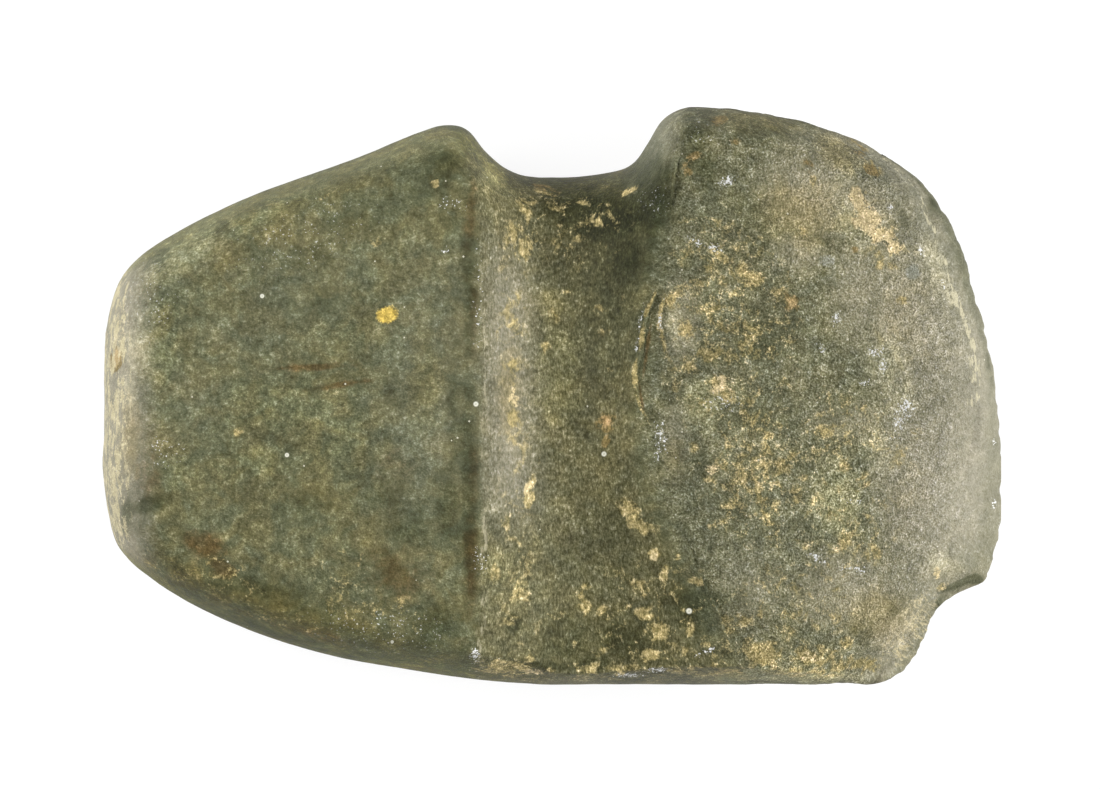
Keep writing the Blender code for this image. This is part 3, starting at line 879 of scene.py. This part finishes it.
GLINT = {
    "row under the bit's top": [
        (690, 238, 5, 3, 1, 10), (700, 243, 5, 4, 1, 30), (714, 248, 10, 5, 1, 15),
        (727, 181, 14, 6, 1, -16), (680, 234, 4, 2, 0.9)],
    "clusters right of the speckles": [
        (837, 318, 4, 9, 1.1), (818, 344, 9, 4, 0.9, 40), (878, 352, 13, 7, 1.1),
        (884, 365, 7, 8, 0.9, -20), (866, 383, 10, 4, 1, -20), (905, 410, 10, 13, 1.1),
        (899, 424, 8, 8, 0.9), (823, 350, 3, 4, 1)],
    "marks by the bevel": [(891, 207, 5, 4, 1, 20), (922, 251, 3, 8, 1, -20), (944, 284, 2.5, 6, 0.8, -15)],
    "lower row": [
        (815, 556, 10, 4, 0.9, 10), (824, 562, 6, 5, 1, 20), (862, 570, 8, 4, 1.2), (848, 569, 8, 3, 0.8)],
    "flecks of the bit": [
        (848, 500, 12, 3, 0.6), (860, 501, 4, 3, 1), (893, 437, 8, 4, 0.6), (722, 403, 20, 12, 0.45)],
    "scar's lip": [
        (641, 318, 2.5, 14, 1.1, 12), (637, 345, 2.5, 12, 1, 8), (660, 322, 2.5, 14, 1.1),
        (660, 440, 8, 26, 0.7)],
    "edge flecks": [(995, 443, 2.5, 6, 1.1), (994, 502, 3, 6, 1.2), (1000, 524, 2, 5, 1)],
    "flecks of the back's rim": [
        (657, 671, 14, 3, 1, -3), (705, 653, 12, 4, 1, -20), (629, 676, 16, 3, 0.9), (475, 655, 6, 10, 0.8)],
    "poll's crest": [(480, 560, 8, 16, 0.5), (478, 300, 6, 60, 0.3), (452, 205, 14, 8, 0.5, 10)],
    "poll's top": [
        (300, 240, 110, 40, 0.12, -24), (150, 300, 40, 60, 0.14), (165, 450, 20, 20, 0.25),
        (446, 250, 4, 3, 1)],
    "poll's foot": [(380, 630, 90, 30, 0.16, 8)],
    "notch": [(655, 200, 24, 26, 0.12), (700, 130, 20, 20, 0.2)],
}
# Where the bit's tan grains crowd, and where its face is plain and brown
SPECKLED = {
    "pale grains of the poll's foot": [
        (250, 602, 90, 16, 0.55, 24), (372, 610, 60, 20, 0.5, 10), (340, 570, 30, 22, 0.5),
        (225, 570, 40, 14, 0.4, 30), (150, 560, 20, 12, 0.5, 40)],
    "bit's left half": [
        (730, 330, 64, 110, 1.05), (770, 470, 66, 74, 1.2, -20), (830, 430, 50, 40, 0.9),
        (800, 600, 60, 40, 0.8), (705, 250, 36, 40, 0.9), (845, 530, 50, 60, 1),
        (660, 610, 70, 60, 0.45, 20), (890, 240, 30, 30, 0.5), (720, 640, 110, 24, 0.7),
        (890, 440, 30, 30, 0.7), (560, 620, 70, 40, 0.15), (570, 230, 60, 40, 0.5)],
}
PLAIN = {
    "bit's right half": [
        (815, 190, 56, 50, 1, 20), (905, 320, 50, 90, 1, -8), (915, 480, 44, 110, 0.9),
        (860, 290, 30, 60, 0.8), (850, 420, 40, 20, 0.5), (800, 250, 30, 24, 0.6), (850, 590, 60, 44, 0.9),
        (896, 632, 24, 24, 1.2), (860, 200, 40, 24, 0.9, 30)],
    "smooth shoulder": [(655, 150, 18, 50, 1.1, 24)],
    "rough hollow": [(752, 590, 36, 40, 0.5)],
    "inside the flake scar": [(680, 322, 20, 46, 0.8), (676, 440, 14, 40, 0.8)],
}
GREY = {
    "grey-green of the poll": [
        (420, 420, 50, 160, 0.9), (255, 330, 70, 50, 0.5), (180, 258, 60, 24, 1, -34),
        (300, 290, 90, 50, 0.6, -20), (190, 400, 40, 60, 0.5)],
    "grey spot": [(913, 272, 8, 8, 1.4)],
    "shoulder": [(655, 150, 20, 56, 1.4, 24), (682, 130, 18, 30, 0.5)],
    "right end of the bit": [(887, 360, 30, 26, 1)],
    "bit's lower middle": [(760, 540, 60, 60, 0.8), (680, 450, 20, 50, 1)],
}
PALE_PIT = {
    "middle of the ochre pit": [(606, 421, 8, 8, 0.8)],
}
BROWN = {
    "top of the bit": [
        (756, 121, 50, 14, 1, 8), (839, 151, 30, 20, 1, 40), (797, 215, 60, 44, 1), (880, 225, 30, 40, 0.5)],
    "right of the bit": [(880, 618, 44, 34, 1), (905, 320, 46, 80, 0.4), (910, 500, 40, 60, 0.3)],
    "groove and middle": [(426, 385, 24, 60, 0.8), (509, 392, 16, 60, 0.8), (674, 454, 20, 40, 0.7)],
    "rim of the poll": [(130, 440, 14, 50, 0.9), (280, 605, 170, 20, 1, 18)],
}
MARKS = {
    "tan": TAN, "cream": CREAM, "ochre": OCHRE, "ash": ASH, "yellow": YELLOW,
    "pale pit": PALE_PIT, "brown": BROWN, "red": RED, "dark": DARK_STAINS_AND_PAINTED_SHADE, "light": PAINTED_LIGHT,
    "glint": GLINT, "speckled": SPECKLED, "plain": PLAIN, "grey": GREY,
}
# Tiny round white dots: (x, y, radius in pixels)
DOTS = {
    "in the groove": (604, 454, 2.8),
    "at the groove's foot": (689, 611, 3.2),
    "high on the poll": (262, 296, 2.4),
    "low on the poll": (287, 455, 2.4),
    "by the poll's crest": (476, 404, 2.8),
    "on the poll's foot": (392, 642, 1.8),
}


# Materials

# The stone's colours as their sRGB bytes
TINTS = {
    "green grey": (104, 107, 78), "olive": (113, 110, 75), "brown cloud": (112, 102, 66),
    "groove": (111, 106, 74), "bit": (147, 146, 115), "plain bit": (178, 172, 143),
    "grey green": (118, 121, 98), "bevel": (169, 164, 144),
    "dull tan": (144, 133, 86), "bright tan": (190, 173, 118), "cream": (227, 207, 157),
    "dull ochre": (142, 124, 78), "bright ochre": (204, 176, 122), "ash": (156, 158, 142),
    "pale pit": (216, 182, 128), "yellow": (222, 192, 94), "streak": (212, 204, 172),
    "fibre": (200, 188, 150), "flake": (214, 203, 164), "haze": (204, 207, 206),
    "fleck": (252, 252, 250), "painted sparkle": (232, 228, 206), "dot": (240, 238, 220),
}
# Stains, painted light and painted shade, in the order that they are laid: (times red, green and blue, mask
# at which they are full)
STAINS_AND_PAINTED_LIGHT = {
    # light is painted light; dark is dark stains with painted shade; red and brown are stains
    "light": ((1.58, 1.55, 1.47, 1), 1.0),
    "dark": ((0.44, 0.47, 0.40, 1), 1.0),
    "red": ((0.80, 0.60, 0.46, 1), 0.9),
    "brown": ((1.05, 0.97, 0.78, 1), 1.0),
}
SHADE_TINT = (0.50, 0.53, 0.45, 1)
RIM_TINT = (0.98, 1.0, 0.58, 1)
FIBRES_TURN = -58
STONE_SPECULAR = 0.09
GRAIN_BUMP = 0.00022
FLOOR_GLOW = 0.88
FLOOR_SHADE = 0.14


class Nodes:
    """Short ways to make and join shader nodes."""

    def __init__(self, material):
        material.use_nodes = True
        self.tree = material.node_tree
        self.tree.nodes.clear()
        self.objects = self.add("ShaderNodeTexCoord").outputs["Object"]

    def add(self, kind, **values):
        node = self.tree.nodes.new(kind)
        for name, value in values.items():
            setattr(node, name, value)
        return node

    def join(self, socket, value):
        if isinstance(value, bpy.types.NodeSocket):
            self.tree.links.new(value, socket)
        else:
            socket.default_value = value

    def math(self, operation, *values, clamp=False):
        node = self.add("ShaderNodeMath", operation=operation, use_clamp=clamp)
        for socket, value in zip(node.inputs, values):
            self.join(socket, value)
        return node.outputs[0]

    def stretch(self, scale, vector=None):
        node = self.add("ShaderNodeVectorMath", operation="MULTIPLY")
        self.join(node.inputs[0], vector or self.objects)
        node.inputs[1].default_value = scale
        return node.outputs[0]

    def turned(self, degrees, scale):
        """The object's place turned about the upright, then stretched."""
        turn = self.add("ShaderNodeMapping", vector_type="POINT")
        self.join(turn.inputs["Vector"], self.objects)
        turn.inputs["Rotation"].default_value = (0, 0, math.radians(degrees))
        return self.stretch(scale, turn.outputs["Vector"])

    def noise(self, scale, detail=2.0, rough=0.5, vector=None, distortion=0.0):
        node = self.add("ShaderNodeTexNoise")
        self.join(node.inputs["Vector"], vector or self.objects)
        node.inputs["Scale"].default_value = scale
        node.inputs["Detail"].default_value = detail
        node.inputs["Roughness"].default_value = rough
        node.inputs["Distortion"].default_value = distortion
        return node.outputs["Fac"]

    def cells(self, scale):
        node = self.add("ShaderNodeTexVoronoi", feature="F1")
        self.join(node.inputs["Vector"], self.objects)
        node.inputs["Scale"].default_value = scale
        return node

    def blend(self, share, first, second):
        """One value turning into another."""
        node = self.add("ShaderNodeMix", data_type="FLOAT")
        self.join(node.inputs[0], share)
        self.join(node.inputs[2], first)
        self.join(node.inputs[3], second)
        return node.outputs[0]

    def mask(self, name):
        return self.add("ShaderNodeAttribute", attribute_name=name).outputs["Fac"]

    def ramp(self, value, low, high):
        node = self.add("ShaderNodeMapRange", interpolation_type="SMOOTHSTEP")
        self.join(node.inputs["Value"], value)
        self.join(node.inputs["From Min"], low)
        self.join(node.inputs["From Max"], high)
        return node.outputs["Result"]

    def mix(self, share, first, second, blend="MIX"):
        node = self.add("ShaderNodeMix", data_type="RGBA", blend_type=blend)
        self.join(node.inputs["Factor"], share)
        self.join(node.inputs[6], first)
        self.join(node.inputs[7], second)
        return node.outputs[2]

    def tinted(self, share, base, factor):
        """A colour multiplied by a factor, as far as the share says."""
        return self.mix(share, base, self.mix(1.0, base, factor, "MULTIPLY"))

    def scaled(self, value, times, clamp=False):
        return self.math("MULTIPLY", value, times, clamp=clamp)

    def swing(self, value, times, around=0.0):
        """How far a value lies from 0.5, times a number, around another value."""
        return self.math("MULTIPLY_ADD", self.math("SUBTRACT", value, 0.5), times, around)

    def weigh(self, *pairs):
        """0.5 plus each value's own distance from 0.5, times its weight."""
        total = 0.5
        for value, weight in pairs:
            total = self.swing(value, weight, total)
        return total


def tint(name):
    """A colour of the stone, as it shows under the light that falls on it."""
    def linear(value):
        value /= 255
        value = value / 12.92 if value <= 0.04045 else ((value + 0.055) / 1.055) ** 2.4
        return value / LIGHT_ON_STONE
    return (*(linear(value) for value in TINTS[name]), 1)


class Grain:
    """The stone's grain at every size, and the clumps that break up its marks."""

    def __init__(self, n):
        groove = n.mask("groove")
        combed = n.stretch((1.0, 0.45, 0.8))
        even = n.noise(3300, 2.0, 0.65)
        self.fine = n.blend(n.scaled(groove, 0.7), even, n.noise(3300, 2.0, 0.65, vector=combed))
        self.clots = n.noise(1250, 3.0, 0.6)
        self.mottle = n.noise(420, 3.0, 0.6)
        self.clouds = n.noise(110, 3.0, 0.55)
        self.hue = n.noise(230, 2.0, 0.5, distortion=0.6)
        self.crowd = n.weigh((self.fine, 1.0), (self.clots, 0.9), (self.mottle, 0.7))
        ragged = n.noise(390, 4.0, 0.66, distortion=0.5)
        self.clumps = n.weigh((ragged, 1.15), (self.clots, 0.5), (self.fine, 0.35))
        rounded = n.noise(330, 4.0, 0.62, distortion=0.5)
        self.blobs = n.weigh((rounded, 1.35), (self.clots, 0.4), (self.fine, 0.2))


def matrix_colour(n, grain):
    """Green-grey and olive in patches, browner and lighter on the plain right of the bit."""
    layers = [
        (n.scaled(n.ramp(grain.clouds, 0.52, 0.70), 0.35), "brown cloud"),
        (n.scaled(n.mask("groove"), 0.6), "groove"),
        (n.scaled(n.mask("bit"), 0.5), "bit"),
        (n.scaled(n.mask("plain"), 0.9, clamp=True), "plain bit"),
        (n.scaled(n.mask("grey"), 0.5, clamp=True), "grey green"),
        # pale: the paler bevel and struck end, with painted light on the end and painted sheen on the poll's
        # rim and the groove's left wall
        (n.scaled(n.mask("pale"), 0.9), "bevel"),
    ]
    base = n.mix(n.ramp(grain.hue, 0.36, 0.64), tint("green grey"), tint("olive"))
    for share, name in layers:
        base = n.mix(share, base, tint(name))
    return base


def grain_shades(n, grain):
    """Times red, green and blue: fine grain is neutral, broader patches are warmer where lighter."""
    bit, groove, plain = (n.mask(name) for name in ("bit", "groove", "plain"))
    calm = n.math("MAXIMUM", n.scaled(plain, 0.9, clamp=True), n.scaled(n.mask("pale"), 0.9))
    fine_swing = n.math("MULTIPLY_ADD", bit, 2.1, n.math("MULTIPLY_ADD", groove, 2.6, 1.9))
    fine_swing = n.blend(calm, fine_swing, n.math("MULTIPLY_ADD", plain, 2.4, 0.8))
    clot_swing = n.blend(calm, n.math("MULTIPLY_ADD", bit, 0.2, 2.1), n.math("MULTIPLY_ADD", plain, 0.6, 0.5))
    calm_broad = n.math("MULTIPLY_ADD", plain, 0.25, 0.30)
    broad_swing = n.blend(calm, n.math("MULTIPLY_ADD", bit, 0.2, 1.0), calm_broad)
    fine = n.swing(grain.clots, clot_swing, n.swing(grain.fine, fine_swing))
    bright_grains = n.math("MULTIPLY", n.ramp(grain.crowd, 0.64, 0.80), n.blend(calm, 0.18, 0.08))
    fine = n.math("ADD", fine, bright_grains)
    broad = n.math("SUBTRACT", n.weigh((grain.mottle, 1.6), (grain.clouds, 1.2)), 0.5)
    broad = n.math("MULTIPLY", broad, broad_swing)
    shades = n.add("ShaderNodeCombineColor")
    for socket, fine_part, broad_part in zip(shades.inputs, FINE_SWING, BROAD_SWING):
        light = n.math("MULTIPLY_ADD", fine, fine_part, n.scaled(broad, broad_part))
        n.join(socket, n.math("EXPONENT", light))
    return shades.outputs[0]


def stained_or_painted_light(n, grain, base, name):
    """The stone under a stain or under painted light or shade, which keeps its grain and has a broken edge.
    """
    factor, full = STAINS_AND_PAINTED_LIGHT[name]
    mask = n.mask(name)
    held = n.ramp(n.swing(grain.clumps, 1.2, mask), 0.1, full)
    held = n.math("MULTIPLY", held, n.ramp(mask, 0.0, 0.3))
    return n.tinted(held, base, factor)


def held_by(n, name, field, edge, reach, fade):
    """Where a field is high enough, crowded where the mark's mask is high."""
    mask = n.mask(name)
    held = n.ramp(n.math("MULTIPLY_ADD", mask, reach, field), *edge)
    return n.math("MULTIPLY", held, n.ramp(mask, 0.0, fade))


def clumped(n, grain, base, shades):
    """Tan, cream and ochre grains and patches, the grey spots and the yellow grain."""
    def grained(colour, share):
        return n.mix(share, colour, shades, "MULTIPLY")

    tans = n.mix(n.ramp(grain.blobs, 0.36, 0.70), tint("dull tan"), tint("bright tan"))
    ochres = n.mix(n.ramp(n.mask("ochre"), 0.8, 1.4), tint("dull ochre"), tint("bright ochre"))
    layers = [
        ("speckled", grain.clumps, (0.60, 0.80), 0.135, tans, 0.8, 0.85),
        ("tan", grain.blobs, (0.55, 0.81), 0.24, tans, 0.9, 0.9),
        ("cream", grain.clumps, (0.51, 0.70), 0.24, tint("cream"), 0.75, 0.95),
        ("ochre", grain.blobs, (0.56, 0.76), 0.27, ochres, 0.8, 0.88),
    ]
    for name, field, edge, reach, colour, share, most in layers:
        held = held_by(n, name, field, edge, reach, 0.3)
        base = n.mix(n.scaled(held, most), base, grained(colour, share))
    spots = [
        ("ash", grain.clumps, 0.6, (0.25, 0.60), 0.5, 0.7),
        ("pale pit", grain.crowd, 0.5, (0.2, 0.9), 0.7, 1.0),
        ("yellow", grain.crowd, 0.5, (0.22, 0.70), 1.0, 1.0),
    ]
    for name, field, swing, edge, share, most in spots:
        held = n.ramp(n.swing(field, swing, n.mask(name)), *edge)
        base = n.mix(n.scaled(held, most), base, grained(tint(name), share))
    return base


def streaked(n, grain, base, shades):
    """Pale streaks with a painted highlight on the crests, fibres in the corner chip, flakes on the poll's
    struck end.
    """
    def lines(vector):
        return n.weigh((n.noise(1500, 3.0, 0.6, vector=vector), 1.3), (grain.mottle, 0.7))

    streaks = held_by(n, "streaks", lines(n.stretch((1.0, 0.25, 0.7))), (0.60, 0.76), 0.22, 0.5)
    base = n.mix(n.scaled(streaks, 0.85), base, tint("streak"))
    fibres = held_by(n, "fibres", lines(n.turned(FIBRES_TURN, (1.8, 0.34, 0.9))), (0.55, 0.72), 0.12, 0.5)
    base = n.mix(n.scaled(fibres, 0.85), base, n.mix(0.7, tint("fibre"), shades, "MULTIPLY"))
    flakes = n.noise(700, 3.0, 0.6, vector=n.stretch((1.3, 0.5, 0.8)))
    flakes = n.weigh((flakes, 1.4), (grain.clots, 0.5), (grain.fine, 0.4))
    flakes = held_by(n, "crushed", flakes, (0.56, 0.80), 0.18, 0.5)
    return n.mix(n.scaled(flakes, 0.9), base, n.mix(0.8, tint("flake"), shades, "MULTIPLY"))


def glinting(n, grain, base):
    """Pale haze and bright flecks where the stone glints, and lone painted sparkles all over."""
    glint = n.mask("glint")
    haze = n.math("MULTIPLY", n.ramp(glint, 0.3, 1.0), n.ramp(grain.crowd, 0.40, 0.70))
    base = n.mix(n.scaled(haze, 0.22), base, tint("haze"))
    flecks = n.weigh((n.noise(2600, 2.0, 0.6), 1.1), (grain.mottle, 0.25))
    base = n.mix(held_by(n, "glint", flecks, (0.68, 0.76), 0.20, 0.2), base, tint("fleck"))
    # lone painted sparkles: a few tiny white cells, more of them on the bit
    cells = n.cells(1100)
    chosen = n.add("ShaderNodeSeparateColor")
    n.join(chosen.inputs[0], cells.outputs["Color"])
    lone = n.math("GREATER_THAN", chosen.outputs[0], n.blend(n.mask("bit"), 0.99, 0.965))
    lone = n.math("MULTIPLY", lone, n.math("LESS_THAN", cells.outputs["Distance"], 0.17))
    return n.mix(n.scaled(lone, 0.8), base, tint("painted sparkle"))


def dotted(n, base):
    """The tiny white dots, each a ring with a darker core, on the front only."""
    for x, y, radius in DOTS.values():
        away = n.add("ShaderNodeVectorMath", operation="DISTANCE")
        n.join(away.inputs[0], n.stretch((1.0, 1.0, 0.0)))
        away.inputs[1].default_value = (*on_face(x, y), 0)
        size = radius * PIXEL
        ring = n.math("SUBTRACT", 1.0, n.ramp(away.outputs["Value"], size * 0.6, size * 1.1))
        core = n.math("MULTIPLY_ADD", n.ramp(away.outputs["Value"], 0.0, size * 0.4), 0.7, 0.3)
        ring = n.math("MULTIPLY", n.math("MULTIPLY", ring, core), n.mask("front"))
        base = n.mix(ring, base, tint("dot"))
    return base


def stone_surface(n, grain, base):
    bit = n.mask("bit")
    shader = n.add("ShaderNodeBsdfPrincipled")
    n.join(shader.inputs["Base Color"], base)
    rough = n.math("ADD", n.weigh((grain.fine, 0.6), (grain.clots, 0.4)), 0.06)
    n.join(shader.inputs["Roughness"], n.math("ADD", n.scaled(bit, 0.06), rough, clamp=True))
    shader.inputs["Specular IOR Level"].default_value = STONE_SPECULAR
    bump = n.add("ShaderNodeBump")
    bump.inputs["Strength"].default_value = 1.0
    bump.inputs["Distance"].default_value = GRAIN_BUMP
    steps = n.math("MULTIPLY_ADD", n.mask("plain"), 0.4, n.math("MULTIPLY_ADD", bit, 2.0, 0.8))
    height = n.weigh((grain.fine, 1.4), (grain.clots, 1.5))
    n.join(bump.inputs["Height"], n.math("MULTIPLY", height, steps))
    n.join(shader.inputs["Normal"], bump.outputs["Normal"])
    output = n.add("ShaderNodeOutputMaterial")
    n.join(output.inputs["Surface"], shader.outputs[0])


def stone_material():
    material = bpy.data.materials.new("greenstone")
    n = Nodes(material)
    grain = Grain(n)
    shades = grain_shades(n, grain)
    base = n.mix(1.0, matrix_colour(n, grain), shades, "MULTIPLY")
    base = n.tinted(n.mask("shade"), base, SHADE_TINT)
    for name in STAINS_AND_PAINTED_LIGHT:
        base = stained_or_painted_light(n, grain, base, name)
    base = n.tinted(n.mask("rim"), base, RIM_TINT)
    base = clumped(n, grain, base, shades)
    base = streaked(n, grain, base, shades)
    base = glinting(n, grain, base)
    stone_surface(n, grain, dotted(n, base))
    return material


def floor_material():
    material = bpy.data.materials.new("white_table")
    n = Nodes(material)
    shader = n.add("ShaderNodeBsdfPrincipled")
    shader.inputs["Base Color"].default_value = (FLOOR_SHADE, FLOOR_SHADE, FLOOR_SHADE, 1)
    shader.inputs["Roughness"].default_value = 0.9
    shader.inputs["Specular IOR Level"].default_value = 0.0
    shader.inputs["Emission Color"].default_value = (1, 1, 1, 1)
    shader.inputs["Emission Strength"].default_value = FLOOR_GLOW
    output = n.add("ShaderNodeOutputMaterial")
    n.join(output.inputs["Surface"], shader.outputs[0])
    return material


# Scene

SKY = 0.16
AIM = (0, 0, 0.03)
# Soft square lights: (place, size, power)
LIGHTS = {
    "key": ((0.70, -0.04, 0.46), 0.35, 12.5),
    "low": ((0.10, -0.75, 0.20), 0.30, 1.5),
    "fill": ((-0.60, 0.26, 0.45), 0.45, 9.0),
}
TABLE_SIZE, TABLE_GAP = 3.0, 0.0002


def make_stone():
    mesh, spread, on_front = build_stone()
    points = np.empty(len(mesh.vertices) * 3)
    mesh.vertices.foreach_get("co", points)
    points = points.reshape(-1, 3)
    normals = np.empty(len(mesh.vertices) * 3)
    mesh.vertex_normals.foreach_get("vector", normals)
    normals = normals.reshape(-1, 3)
    resting = points[:, 2] < 1e-6
    place, w = spread.T
    fields = masks(points, place, w)
    points = points + normals * relief(points, normals, place, w, fields["tan"])[:, None]
    points = np.clip(points, cad_box[0], cad_box[1])
    points[resting, 2] = 0
    mesh.vertices.foreach_set("co", points.ravel())
    mesh.update()
    for name, field in fields.items():
        mesh.attributes.new(name, "FLOAT", "POINT").data.foreach_set("value", field.astype(np.float32))
    mesh.attributes.new("front", "FLOAT", "POINT").data.foreach_set("value", on_front.astype(np.float32))
    mesh.shade_smooth()
    mesh.materials.append(stone_material())
    stone = bpy.data.objects.new("stone_axe_head", mesh)
    bpy.context.scene.collection.objects.link(stone)
    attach(stone, "root")
    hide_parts("axe_head")
    return stone


def make_floor():
    mesh = bpy.data.meshes.new("table")
    corners = [(x * TABLE_SIZE, y * TABLE_SIZE, 0) for x, y in ((-1, -1), (1, -1), (1, 1), (-1, 1))]
    mesh.from_pydata(corners, [], [(0, 1, 2, 3)])
    mesh.materials.append(floor_material())
    table = bpy.data.objects.new("table", mesh)
    table.location.z = -TABLE_GAP
    bpy.context.scene.collection.objects.link(table)


def add_light(name, position, size, power):
    """A square soft light that faces the stone."""
    light = bpy.data.lights.new(name, "AREA")
    light.shape = "SQUARE"
    light.size = size
    light.energy = power
    lamp = bpy.data.objects.new(name, light)
    lamp.location = position
    lamp.rotation_euler = (Vector(AIM) - Vector(position)).to_track_quat("-Z", "Y").to_euler()
    bpy.context.scene.collection.objects.link(lamp)


def make_camera():
    camera = bpy.data.cameras.new("camera")
    camera.sensor_width = 36
    camera.lens = camera.sensor_width * CAMERA_HEIGHT / (PHOTO_SIZE[0] * PIXEL)
    camera.clip_start = 0.01
    viewer = bpy.data.objects.new("camera", camera)
    middle_x = (PHOTO_SIZE[0] / 2 - PHOTO_MIDDLE[0]) * PIXEL
    middle_y = (PHOTO_MIDDLE[1] - PHOTO_SIZE[1] / 2) * PIXEL
    viewer.location = (middle_x, middle_y, MIDDLE + CAMERA_HEIGHT)
    viewer.rotation_euler = (0, 0, 0)
    bpy.context.scene.collection.objects.link(viewer)
    bpy.context.scene.camera = viewer


def make_world():
    world = bpy.data.worlds.new("studio")
    world.use_nodes = True
    background = world.node_tree.nodes["Background"]
    background.inputs["Color"].default_value = (1, 1, 1, 1)
    background.inputs["Strength"].default_value = SKY
    bpy.context.scene.world = world


make_stone()
make_floor()
for name, values in LIGHTS.items():
    add_light(name, *values)
make_world()
make_camera()
bpy.context.scene.view_settings.view_transform = "Standard"
